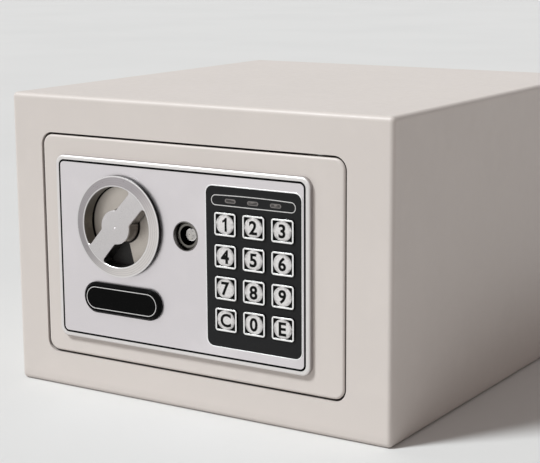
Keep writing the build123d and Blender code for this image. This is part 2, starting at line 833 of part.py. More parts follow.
# Locking bolts, each seated on the carriage's bent edge
for bolt_name, z in zip(("bolt_lower", "bolt_upper"), bolt_zs):
    with BuildPart() as locking_bolt:
        with BuildSketch(side(bolt_root_x)):
            with Locations((bolt_y, z)):
                Circle(bolt_r)
        extrude(amount=-bolt_len)
        chamfer(locking_bolt.faces().sort_by(Axis.X)[0].edges(), length=bolt_tip_chamfer)
        with BuildSketch(side(bolt_root_x)):
            with Locations((bolt_y, z)):
                Circle(bolt_stud_r)
        extrude(amount=carriage_t + bolt_nut_t + bolt_stud_past)
        with BuildSketch(side(bolt_root_x + carriage_t)):
            with Locations((bolt_y, z)):
                RegularPolygon(bolt_nut_r, 6)
        extrude(amount=bolt_nut_t)
    locking_bolt.part.label = bolt_name
    export_step(locking_bolt.part, f"parts/{bolt_name}.step")

# Bolt guide: an angle on the door's back whose holes steer the bolts
bolt_guide_x = bolt_tip_x + guide_from_tip
bolt_guide_low = flange_low - guide_end
bolt_guide_high = flange_high + guide_end
bolt_guide_back = bolt_y + bolt_r + guide_end
bolt_guide_foot = knob_x - cup_outer_r - guide_cup_gap
with BuildPart() as bolt_guide:
    with BuildSketch(Plane.XY.offset(bolt_guide_low)):
        with BuildLine():
            Polyline(
                (bolt_guide_x, door_back), (bolt_guide_foot, door_back),
                (bolt_guide_foot, door_back + guide_sheet),
                (bolt_guide_x + guide_sheet, door_back + guide_sheet),
                (bolt_guide_x + guide_sheet, bolt_guide_back), (bolt_guide_x, bolt_guide_back),
                close=True,
            )
        make_face()
    extrude(amount=bolt_guide_high - bolt_guide_low)
    with BuildSketch(side(bolt_guide_x)):
        for z in bolt_zs:
            with Locations((bolt_y, z)):
                Circle(bolt_r + bolt_run)
    extrude(amount=guide_sheet, mode=Mode.SUBTRACT)
bolt_guide.part.label = "bolt_guide"
export_step(bolt_guide.part, "parts/bolt_guide.step")

# Shouldered pins that the carriage slides on
with BuildPart() as guide_pins:
    for x, z in guides:
        for back, length, r in (
            (carriage_front - layer_gap, carriage_front - layer_gap - plate_back, guide_head_r),
            (carriage_back + layer_gap, carriage_t + 2 * layer_gap, guide_neck_r),
            (carriage_back + layer_gap + guide_head_t, guide_head_t, guide_head_r),
        ):
            with BuildSketch(front(back)):
                with Locations((x, z)):
                    Circle(r)
            extrude(amount=length)
guide_pins.part.label = "guide_pins"
export_step(guide_pins.part, "parts/guide_pins.step")

# Solenoid below the locking tooth: bracket, coil, sprung plunger
plunger_y = (carriage_front + carriage_back) / 2
plunger_rest_z = arm_low_z[0] - tooth_h - plunger_below_tooth
solenoid_low = plate_low + 1.0
solenoid_top = plunger_rest_z - coil_below_tip
collar_z = plunger_rest_z - collar_below_tip
with BuildPart() as solenoid_frame:
    with BuildSketch(side(plunger_x - solenoid_w / 2)):
        with Locations(((plate_back + plunger_y + coil_r) / 2, (solenoid_low + solenoid_top) / 2)):
            Rectangle(plunger_y + coil_r - plate_back, solenoid_top - solenoid_low)
            Rectangle(
                plunger_y + coil_r - plate_back, solenoid_top - solenoid_low - 2 * solenoid_wall,
                mode=Mode.SUBTRACT,
            )
        with Locations((plate_back + 0.2, (solenoid_low + solenoid_top) / 2)):
            Rectangle(0.4, solenoid_top - solenoid_low)
    extrude(amount=solenoid_w)
    with BuildSketch(Plane.XY.offset(solenoid_low)):
        with Locations((plunger_x, plunger_y)):
            Circle(plunger_r + 0.5)
    extrude(amount=solenoid_top - solenoid_low, mode=Mode.SUBTRACT)
solenoid_frame.part.label = "solenoid_frame"
export_step(solenoid_frame.part, "parts/solenoid_frame.step")

coil_low = solenoid_low + solenoid_wall
coil_high = solenoid_top - solenoid_wall
with BuildPart() as solenoid_coil:
    with BuildSketch(Plane.XY.offset(coil_low)):
        with Locations((plunger_x, plunger_y)):
            Circle(coil_r)
            Circle(plunger_r + bolt_run, mode=Mode.SUBTRACT)
    extrude(amount=coil_high - coil_low)
solenoid_coil.part.label = "solenoid_coil"
export_step(solenoid_coil.part, "parts/solenoid_coil.step")

with BuildPart() as solenoid_plunger:
    with BuildSketch(Plane.XY.offset(solenoid_low + 3.0)):
        with Locations((plunger_x, plunger_y)):
            Circle(plunger_r)
    extrude(amount=plunger_rest_z - solenoid_low - 3.0)
    chamfer(solenoid_plunger.faces().sort_by(Axis.Z)[-1].edges(), length=0.6)
    with BuildSketch(Plane.XY.offset(collar_z)):
        with Locations((plunger_x, plunger_y)):
            Circle(collar_r)
    extrude(amount=collar_t)
solenoid_plunger.part.label = "solenoid_plunger"
export_step(solenoid_plunger.part, "parts/solenoid_plunger.step")

# Plunger's spring between the bracket and the collar
with BuildPart() as plunger_spring:
    with BuildLine() as spring_path:
        Helix(
            (collar_z - solenoid_top - 2 * spring_wire_r) / spring_turns,
            collar_z - solenoid_top - 2 * spring_wire_r, spring_r,
            center=(plunger_x, plunger_y, solenoid_top + spring_wire_r),
        )
    with BuildSketch(Plane(origin=spring_path.line @ 0, z_dir=spring_path.line % 0)):
        Circle(spring_wire_r)
    sweep()
plunger_spring.part.label = "plunger_spring"
export_step(plunger_spring.part, "parts/plunger_spring.step")

# Override key lock: stepped mouth, round keyway about the plug, barrel through door and plate
with BuildPart() as lock_housing:
    with BuildSketch(Plane.XY.offset(lock_z)):
        with BuildLine():
            Polyline(
                (lock_x + lock_r, lock_front + 0.3), (lock_x + lock_r, lock_back),
                (lock_x + plug_r + plug_run, lock_back), (lock_x + plug_r + plug_run, plug_front + keyway_depth),
                (lock_x + lock_bore_r, plug_front + keyway_depth),
                (lock_x + lock_bore_r, lock_front + lock_step_depth),
                (lock_x + lock_step_r, lock_front + lock_step_depth), (lock_x + lock_mouth_r, lock_front),
                (lock_x + lock_r - 0.3, lock_front), close=True,
            )
        make_face()
    revolve(axis=Axis((lock_x, 0, lock_z), (0, 1, 0)))
lock_housing.part.label = "lock_housing"
export_step(lock_housing.part, "parts/lock_housing.step")

with BuildPart() as lock_nut:
    with BuildSketch(front(plate_back + lock_nut_t)):
        with Locations((lock_x, lock_z)):
            RegularPolygon(lock_nut_r, 6, major_radius=False)
            Circle(lock_r, mode=Mode.SUBTRACT)
    extrude(amount=lock_nut_t)
lock_nut.part.label = "lock_nut"
export_step(lock_nut.part, "parts/lock_nut.step")

# Lock plug for a tubular key, with an index notch and a square tail, and the cam on the tail
tail = 4.2
with BuildPart() as lock_plug:
    with BuildSketch(front(cam_front)):
        with Locations((lock_x, lock_z)):
            Circle(plug_r)
    extrude(amount=cam_front - plug_front)
    chamfer(lock_plug.faces().sort_by(Axis.Y)[0].edges(), length=0.3)
    with BuildSketch(front(plug_front)):
        with Locations((lock_x, lock_z + plug_r)):
            Rectangle(notch_w, 2 * notch_depth)
    extrude(amount=-keyway_depth, mode=Mode.SUBTRACT)
    with BuildSketch(front(cam_front + cam_t)):
        with Locations((lock_x, lock_z)):
            Rectangle(tail, tail)
    extrude(amount=cam_t)
lock_plug.part.label = "lock_plug"
export_step(lock_plug.part, "parts/lock_plug.step")

with BuildPart() as lock_cam:
    with BuildSketch(front(cam_front + cam_t)):
        with Locations((lock_x, lock_z)):
            Circle(cam_w / 2)
        with Locations((lock_x, lock_z - cam_len + cam_w / 2 - 1.5)):
            Circle(cam_w / 2 - 1.5)
        make_hull()
        with Locations((lock_x, lock_z)):
            Rectangle(tail, tail, mode=Mode.SUBTRACT)
    extrude(amount=cam_t)
lock_cam.part.label = "lock_cam"
export_step(lock_cam.part, "parts/lock_cam.step")

# Keypad: a black moulding with a square hole for each key and a slot for each lamp
key_names = ["key_1", "key_2", "key_3", "key_4", "key_5", "key_6", "key_7", "key_8", "key_9",
             "key_c", "key_0", "key_e"]
keys_x = keypad_x + keys_dx
keys_z = keypad_z + keys_dz
key_places = [
    (keys_x + (column - 1) * key_pitch_x, keys_z + (1.5 - row) * key_pitch_z)
    for row in range(4) for column in range(3)
]
lens_places = [(keypad_x + column * lens_pitch, keypad_z + lens_dz) for column in (-1, 0, 1)]
with BuildPart() as keypad_plate:
    with BuildSketch(front(front_y)):
        with Locations((keypad_x, keypad_z)):
            RectangleRounded(keypad_w, keypad_h, keypad_corner_r)
    extrude(amount=front_y - keypad_front)
    with BuildSketch(front(front_y)):
        with Locations((keypad_x, keypad_z)):
            RectangleRounded(window_w, window_h, keypad_corner_r - keypad_rim_w)
    extrude(amount=front_y - keypad_face_back, mode=Mode.SUBTRACT)
    with BuildSketch(front(keypad_face_back)):
        with Locations(*key_places):
            RectangleRounded(
                key_w + 2 * key_side_gap, key_h + 2 * key_side_gap, key_corner_r + key_side_gap
            )
        with Locations(*lens_places):
            SlotOverall(lens_w, lens_h)
    extrude(amount=keypad_face_t, mode=Mode.SUBTRACT)
keypad_plate.part.label = "keypad_plate"
export_step(keypad_plate.part, "parts/keypad_plate.step")

# Lamp lenses
with BuildPart() as led_lenses:
    with BuildSketch(front(keypad_face_back)):
        with Locations(*lens_places):
            SlotOverall(lens_w, lens_h)
    extrude(amount=keypad_face_t + 0.1)
led_lenses.part.label = "led_lenses"
export_step(led_lenses.part, "parts/led_lenses.step")

# Ball that the keys' domes are cut from, its centre and its height above it at half the dome's radius
key_ball_r = (key_dome_r**2 + key_dome_up**2) / (2 * key_dome_up)
key_ball_y = key_front - key_dome_up + key_ball_r
key_ball_mid = (key_ball_r**2 - (key_dome_r / 2) ** 2) ** 0.5

# Keys: a rimmed square cap with a round dome, a flange that keeps it in, and a stem
for key_name, (x, z) in zip(key_names, key_places):
    with BuildPart() as key:
        with BuildSketch(front(key_flange_back)):
            with Locations((x, z)):
                RectangleRounded(key_w, key_h, key_corner_r)
        extrude(amount=key_flange_back - key_front)
        with BuildSketch(front(key_front + key_well)):
            with Locations((x, z)):
                RectangleRounded(
                    key_w - 2 * key_rim, key_h - 2 * key_rim, key_corner_r - key_rim
                )
        extrude(amount=key_well, mode=Mode.SUBTRACT)
        with BuildSketch(Plane.XY.offset(z)):
            with BuildLine():
                Polyline(
                    (x, key_front - key_dome_up), (x, key_front + key_well),
                    (x + key_dome_r, key_front + key_well), (x + key_dome_r, key_front),
                )
                ThreePointArc(
                    (x + key_dome_r, key_front), (x + key_dome_r / 2, key_ball_y - key_ball_mid),
                    (x, key_front - key_dome_up),
                )
            make_face()
        revolve(axis=Axis((x, 0, z), (0, 1, 0)))
        with BuildSketch(front(key_flange_back)):
            with Locations((x, z)):
                Rectangle(key_w + 2 * key_flange, key_h + 2 * key_flange)
        extrude(amount=key_flange_t)
        with BuildSketch(front(key_end)):
            with Locations((x, z)):
                Circle(key_stem_r)
        extrude(amount=key_stem_len)
    key.part.label = key_name
    export_step(key.part, f"parts/{key_name}.step")

# Keypad's circuit board in the door's window, and the switches under the keys
with BuildPart() as keypad_board:
    with BuildSketch(front(keypad_board_back)):
        with Locations((keypad_x, keypad_z)):
            RectangleRounded(
                window_w - 2 * board_gap, window_h - 2 * board_gap, keypad_corner_r - keypad_rim_w
            )
    extrude(amount=keypad_board_t)
keypad_board.part.label = "keypad_board"
export_step(keypad_board.part, "parts/keypad_board.step")

with BuildPart() as key_switches:
    for x, z in key_places:
        with BuildSketch(front(keypad_board_front)):
            with Locations((x, z)):
                Rectangle(switch_side, switch_side)
        extrude(amount=keypad_board_front - switch_top - 0.4)
        with BuildSketch(front(keypad_board_front)):
            with Locations((x, z)):
                Circle(1.6)
        extrude(amount=keypad_board_front - switch_top)
key_switches.part.label = "key_switches"
export_step(key_switches.part, "parts/key_switches.step")

# Control board on its studs, with its parts
with BuildPart() as control_board:
    with BuildSketch(front(control_back)):
        with Locations((control_x, control_z)):
            RectangleRounded(control_w, control_h, 2)
    extrude(amount=board_t)
control_board.part.label = "control_board"
export_step(control_board.part, "parts/control_board.step")

# Blocks as shares of the board across and up, then width, height and thickness; cans with radius and height
board_blocks = [(-0.64, 0.54, 12.0, 12.0, 3.0), (0.08, 0.58, 16.0, 11.0, 10.0), (-0.56, 0.09, 9.0, 16.0, 6.0)]
board_cans = [(0.72, 0.22, 4.0, 11.0), (0.72, -0.09, 4.0, 11.0)]
with BuildPart() as board_parts:
    for dx, dz, w, h, t in board_blocks:
        with BuildSketch(front(control_back + t)):
            with Locations((control_x + dx * control_w / 2, control_z + dz * control_h / 2)):
                Rectangle(w, h)
        extrude(amount=t)
    for dx, dz, r, t in board_cans:
        with BuildSketch(front(control_back + t)):
            with Locations((control_x + dx * control_w / 2, control_z + dz * control_h / 2)):
                Circle(r)
        extrude(amount=t)
    with BuildSketch(front(control_back + switch_h)):
        with Locations((reset_x, reset_z)):
            Rectangle(switch_side, switch_side)
    extrude(amount=switch_h)
    with BuildSketch(front(control_front)):
        with Locations((control_x, keypad_z - connector_below)):
            Rectangle(connector_w, connector_h)
    extrude(amount=control_front - keypad_board_back)
board_parts.part.label = "board_parts"
export_step(board_parts.part, "parts/board_parts.step")

# Battery tray and cells
tray_w = cell_len + 5.5
tray_h = (cell_count - 1) * cell_pitch + 2 * cell_r + 2 * tray_wall + 0.4
tray_right = cover_right - 17.0
tray_x = tray_right - tray_w / 2
tray_z = cover_low + cover_sheet + tray_h / 2 + 0.6
tray_back = cover_inside_back
tray_depth = 2 * cell_r + tray_wall + 0.4
tray_front = tray_back - tray_depth
cell_y = tray_front + tray_wall + cell_r
with BuildPart() as battery_tray:
    with BuildSketch(front(tray_back)):
        with Locations((tray_x, tray_z)):
            Rectangle(tray_w, tray_h)
    extrude(amount=tray_depth)
    with BuildSketch(front(tray_back)):
        with Locations((tray_x, tray_z)):
            Rectangle(tray_w - 2 * tray_wall, tray_h - 2 * tray_wall)
    extrude(amount=tray_depth - tray_wall, mode=Mode.SUBTRACT)
battery_tray.part.label = "battery_tray"
export_step(battery_tray.part, "parts/battery_tray.step")

with BuildPart() as battery_cells:
    for row in range(cell_count):
        z = tray_z + (row - (cell_count - 1) / 2) * cell_pitch
        flip = 1 if row % 2 else -1
        with BuildSketch(side(tray_x - cell_len / 2)):
            with Locations((cell_y, z)):
                Circle(cell_r)
        extrude(amount=cell_len)
        with BuildSketch(side(tray_x + flip * cell_len / 2)):
            with Locations((cell_y, z)):
                Circle(2.6)
        extrude(amount=flip * 1.0)
battery_cells.part.label = "battery_cells"
export_step(battery_cells.part, "parts/battery_cells.step")

# Rear cover: a folded pan over the works, with rails for the battery lid
hatch_w = tray_w - 2 * tray_wall
hatch_h = tray_h - 2 * tray_wall
lid_w = hatch_w + 6.0
lid_h = hatch_h + 6.0
rail_w = 3.0
post_places = [
    (cover_left + post_side, cover_low + post_inset), (cover_left + post_side, cover_high - post_inset),
    (cover_right - post_low_side, cover_low + post_inset),
    (cover_right - post_side, cover_high - post_inset),
]
with BuildPart() as rear_cover:
    with BuildSketch(front(cover_back)):
        with Locations((cover_x, cover_z)):
            RectangleRounded(cover_w, cover_h, cover_corner_r)
    extrude(amount=cover_depth)
    fillet(rear_cover.faces().sort_by(Axis.Y)[-1].edges(), radius=2)
    with BuildSketch(front(cover_inside_back)):
        with Locations((cover_x, cover_z)):
            RectangleRounded(
                cover_w - 2 * cover_sheet, cover_h - 2 * cover_sheet, cover_corner_r - cover_sheet
            )
    extrude(amount=cover_depth, mode=Mode.SUBTRACT)
    with BuildSketch(front(cover_back)):
        with Locations((tray_x, tray_z)):
            Rectangle(hatch_w, hatch_h)
        with Locations((reset_x, reset_z)):
            Circle(reset_r + reset_side_gap)
        with Locations(*post_places):
            Circle(screw_shank_r)
    extrude(amount=cover_sheet, mode=Mode.SUBTRACT)
    with BuildSketch(side(cover_left)):
        for z in bolt_zs:
            with Locations((bolt_y, z)):
                Circle(bolt_r + 0.8)
    extrude(amount=cover_sheet, mode=Mode.SUBTRACT)
rear_cover.part.label = "rear_cover"
export_step(rear_cover.part, "parts/rear_cover.step")

# Lid rails: lipped strips each side of the hatch
rail_len = lid_h + lid_travel
rail_z = tray_z - lid_h / 2
with BuildPart() as lid_rails:
    for sign in (-1, 1):
        edge = tray_x + sign * (lid_w / 2 + 0.3)
        with BuildSketch(Plane.XY.offset(rail_z)):
            with BuildLine():
                Polyline(
                    (edge, cover_back), (edge + sign * rail_w, cover_back),
                    (edge + sign * rail_w, cover_back + lid_t + 1.3),
                    (edge - sign * 1.5, cover_back + lid_t + 1.3),
                    (edge - sign * 1.5, cover_back + lid_t + 0.3), (edge, cover_back + lid_t + 0.3),
                    close=True,
                )
            make_face()
        extrude(amount=rail_len)
lid_rails.part.label = "lid_rails"
export_step(lid_rails.part, "parts/lid_rails.step")

# Battery lid, with grip ribs
with BuildPart() as battery_lid:
    with BuildSketch(front(cover_back + lid_t)):
        with Locations((tray_x, tray_z)):
            Rectangle(lid_w, lid_h)
    extrude(amount=lid_t - 0.2)
    with BuildSketch(front(cover_back + lid_t)):
        with Locations((tray_x, tray_z - lid_h / 2 + 10.0)):
            with GridLocations(0, 3.0, 1, 4):
                SlotOverall(22.0, 1.2)
    extrude(amount=-0.8)
battery_lid.part.label = "battery_lid"
export_step(battery_lid.part, "parts/battery_lid.step")

# Reset button with its long stem
with BuildPart() as reset_button:
    with BuildSketch(front(cover_back + 2.4)):
        with Locations((reset_x, reset_z)):
            Circle(reset_r)
    extrude(amount=2.4 + cover_sheet + 0.4)
    chamfer(reset_button.faces().sort_by(Axis.Y)[-1].edges(), length=0.6)
    with BuildSketch(front(cover_inside_back - 0.4)):
        with Locations((reset_x, reset_z)):
            Circle(reset_r + 1.6)
    extrude(amount=1.2)
    with BuildSketch(front(cover_inside_back - 0.4)):
        with Locations((reset_x, reset_z)):
            Circle(1.6)
    extrude(amount=cover_inside_back - 0.4 - control_back - switch_h - reset_travel - layer_gap)
reset_button.part.label = "reset_button"
export_step(reset_button.part, "parts/reset_button.step")

# Posts from the door to the cover's inside, and the cover's screws
with BuildPart() as cover_posts:
    with BuildSketch(front(cover_inside_back)):
        with Locations(*post_places):
            Circle(post_r)
    extrude(amount=cover_inside_back - door_back)
    with BuildSketch(front(cover_inside_back)):
        with Locations(*post_places):
            Circle(screw_shank_r)
    extrude(amount=8.0, mode=Mode.SUBTRACT)
cover_posts.part.label = "cover_posts"
export_step(cover_posts.part, "parts/cover_posts.step")

with BuildPart() as cover_screws:
    with BuildSketch(front(cover_back)):
        with Locations(*post_places):
            Circle(screw_shank_r)
    extrude(amount=cover_sheet + 6.0)
    with BuildSketch(front(cover_back + screw_head_t)):
        with Locations(*post_places):
            Circle(screw_head_r)
    extrude(amount=screw_head_t)
    fillet(cover_screws.faces().sort_by(Axis.Y)[-1].edges(), radius=0.5)
cover_screws.part.label = "cover_screws"
export_step(cover_screws.part, "parts/cover_screws.step")
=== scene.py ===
import json
from math import cos, pi, radians, sin

import bmesh
import bpy
from mathutils import Matrix, Vector

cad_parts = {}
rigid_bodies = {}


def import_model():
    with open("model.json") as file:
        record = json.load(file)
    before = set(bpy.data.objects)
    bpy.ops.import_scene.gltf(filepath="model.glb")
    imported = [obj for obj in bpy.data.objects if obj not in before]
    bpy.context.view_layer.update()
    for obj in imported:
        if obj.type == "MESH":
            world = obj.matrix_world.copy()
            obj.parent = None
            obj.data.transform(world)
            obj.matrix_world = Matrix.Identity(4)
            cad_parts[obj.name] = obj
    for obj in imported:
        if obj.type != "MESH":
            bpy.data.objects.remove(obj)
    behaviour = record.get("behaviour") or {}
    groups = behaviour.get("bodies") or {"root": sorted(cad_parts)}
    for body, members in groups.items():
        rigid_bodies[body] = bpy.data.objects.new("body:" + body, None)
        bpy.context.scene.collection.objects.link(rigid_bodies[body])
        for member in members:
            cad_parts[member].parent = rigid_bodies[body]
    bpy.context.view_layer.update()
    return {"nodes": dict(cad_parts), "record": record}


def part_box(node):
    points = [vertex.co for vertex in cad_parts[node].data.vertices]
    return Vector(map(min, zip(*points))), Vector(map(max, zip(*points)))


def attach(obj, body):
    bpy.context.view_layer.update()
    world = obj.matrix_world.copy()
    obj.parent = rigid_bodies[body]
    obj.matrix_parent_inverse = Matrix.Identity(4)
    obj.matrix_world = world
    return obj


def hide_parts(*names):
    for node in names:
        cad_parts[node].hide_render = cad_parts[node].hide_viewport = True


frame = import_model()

MM = 0.001
nodes = frame["nodes"]

# Camera, solved from the photograph's edges
CAM_YAW = radians(32.63)
CAM_PITCH = radians(11.11)
CAM_ROLL = radians(-0.35)
CAM_DISTANCE = 0.725
CAM_LOOK = Vector((0.048, -0.120, 0.0984))
CAM_FOCAL_PX = 1500.0
PHOTO_W_PX = 540.0
SENSOR_W = 36.0

# Key faces
KEY_PITCH_X = 16.6 * MM
KEY_PITCH_Z = 16.1 * MM
KEY_FLANGE = 0.8 * MM
KEY_CORNER_R = 1.4 * MM
RIM_W = 0.85 * MM
RIM_UP = 0.10 * MM
RIM_DOWN = 0.40 * MM
DISC_W = 10.4 * MM
DISC_H = 9.9 * MM
DISC_UP = 0.35 * MM
DISC_SKIN = 0.05 * MM
LEGEND_H = 6.9 * MM
LEGEND_T = 0.06 * MM
LEGEND_BOLD = 0.028
LEGEND_STEPS = 4
LEGEND_MERGE = 1e-5
# The 1 as an outline with a flag, in font heights
FLAGGED_ONE = (
    (0.22, 0.0), (0.39, 0.0), (0.39, 1.0), (0.26, 1.0), (0.21, 0.91), (0.13, 0.84), (0.03, 0.79),
    (0.03, 0.63), (0.13, 0.67), (0.22, 0.73),
)

# Raised lines and lamps
LAMP_PITCH = 13.1 * MM
LINE_UP = 0.10 * MM
LAMP_BAR_W = 48.9 * MM
LAMP_BAR_H = 5.3 * MM
LAMP_BAR_BOW = 0.5 * MM
LAMP_BAR_DROP = 0.10 * MM
LAMP_LINE_W = 0.45 * MM
LAMP_CORNER_SPARE = 0.1 * MM
TRIM_GROW = 0.55 * MM
TRIM_UP = 0.28 * MM
TRIM_CORNER_R = 4.35 * MM
NAME_LINE_INSET = 2.3 * MM
NAME_LINE_W = 0.5 * MM
NAME_GROOVE = 0.25 * MM
NAME_LINE_PROUD = 0.02 * MM
NAME_CORNER_SPARE = 0.01 * MM

# Cover screws
SCREW_HEAD_R = 3.6 * MM
SCREW_HEAD_T = 1.6 * MM
SCREW_CROWN = 0.5 * MM
SCREW_SHANK_R = 1.5 * MM
CROSS_SPAN = 4.2 * MM
CROSS_W = 0.9 * MM
CROSS_DEPTH = 1.0 * MM

# Where the paint changes, each pair from none to full. A name that ends in X, Y or Z holds
# coordinates. The others hold distances from an axis, a key's or lens's middle, or a named face.
KNOB_RING = (20.7 * MM, 21.1 * MM)
KNOB_RING_EDGE = (20.9 * MM, 21.1 * MM)
KNOB_RING_EDGE_END = (21.8 * MM, 21.5 * MM)
KNOB_RIM_EDGE = (25.7 * MM, 26.0 * MM)
KNOB_RING_HIGHLIGHT = (-12 * MM, 30 * MM)
KNOB_BEHIND_Y = (-125.7 * MM, -125.1 * MM)
KNOB_POCKET_END = (22.0 * MM, 21.6 * MM)
KNOB_WALL = (20.3 * MM, 20.8 * MM)
KNOB_SIDE = (25.8 * MM, 26.1 * MM)
KNOB_SIDE_Y = (-124.65 * MM, -124.5 * MM)
DOOR_EDGE_FROM_FRONT = (0.8 * MM, 1.1 * MM)
DOOR_EDGE_FROM_BACK = (0.1 * MM, 0.3 * MM)
FOOT_SHADE_Z = (6 * MM, 0.0)
CUP_WALL = (20.3 * MM, 20.7 * MM)
CUP_HUB_END = (9.9 * MM, 9.5 * MM)
FUNNEL_Y = (-121.9 * MM, -121.1 * MM)
STEP_END = (6.3 * MM, 6.1 * MM)
STEP_END_Y = (-119.9 * MM, -120.2 * MM)
PLUG_RIM = (2.8 * MM, 3.0 * MM)
PLUG_PITS_END = (2.6 * MM, 2.4 * MM)
BEZEL_WALL_Y = (-122.3 * MM, -121.8 * MM)
CELL_BAND_X = (24 * MM, 26 * MM)
DISC_EDGE = (3.4 * MM, 5.1 * MM)
KEY_RIM_ACROSS = (5.35 * MM, 5.5 * MM)
KEY_RIM_UP = (4.9 * MM, 5.05 * MM)
LENS_MIDDLE_UP = (0.80 * MM, 0.55 * MM)
LENS_MIDDLE_ALONG = (2.7 * MM, 2.3 * MM)

# Stage and light
FLOOR_HALF = 12.0
FLOOR_DROP = 0.1 * MM
AMBIENT = 0.24
AMBIENT_TINT = (1.0, 0.905, 0.87)
ROOM_TINT = (0.86, 0.86 * 0.99, 0.86 * 0.985)
SUN_STRENGTH = 3.35
SUN_TINT = (0.93, 0.98, 1.0)
SUN_TOWARDS = (0.40, 0.52, -0.76)
SUN_WIDTH = radians(14)


def middle(node):
    """The middle of a CAD node's box at rest."""
    lo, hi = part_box(node)
    return (Vector(lo) + Vector(hi)) / 2


def size(node):
    """The size of a CAD node's box at rest."""
    lo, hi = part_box(node)
    return Vector(hi) - Vector(lo)


def linear(r, g, b):
    """A colour given in 8-bit sRGB, as linear values."""
    values = [c / 255 for c in (r, g, b)]
    return tuple(v / 12.92 if v < 0.04045 else ((v + 0.055) / 1.055) ** 2.4 for v in values)


# Node kit

class Graph:
    """A node tree, with short ways to add nodes and join them."""

    def __init__(self, tree):
        self.tree = tree

    def node(self, kind, **values):
        """A new node. Values that name an input go to its socket, the others to the node itself."""
        made = self.tree.nodes.new(kind)
        for key, value in values.items():
            if hasattr(made, key):
                setattr(made, key, value)
            else:
                self.feed(made.inputs[key.replace("_", " ")], value)
        return made

    def feed(self, socket, value):
        """Links a socket's value, or sets a plain one."""
        if isinstance(value, bpy.types.NodeSocket):
            self.tree.links.new(value, socket)
        else:
            socket.default_value = value

    def math(self, operation, a, b=0.0):
        """The result of a Math node."""
        made = self.node("ShaderNodeMath", operation=operation)
        self.feed(made.inputs[0], a)
        self.feed(made.inputs[1], b)
        return made.outputs[0]

    def plus(self, a, b):
        return self.math("ADD", a, b)

    def less(self, a, b):
        return self.math("SUBTRACT", a, b)

    def times(self, a, b):
        return self.math("MULTIPLY", a, b)

    def parts(self, vector):
        """The X, Y and Z outputs of a vector."""
        return self.node("ShaderNodeSeparateXYZ", Vector=vector).outputs


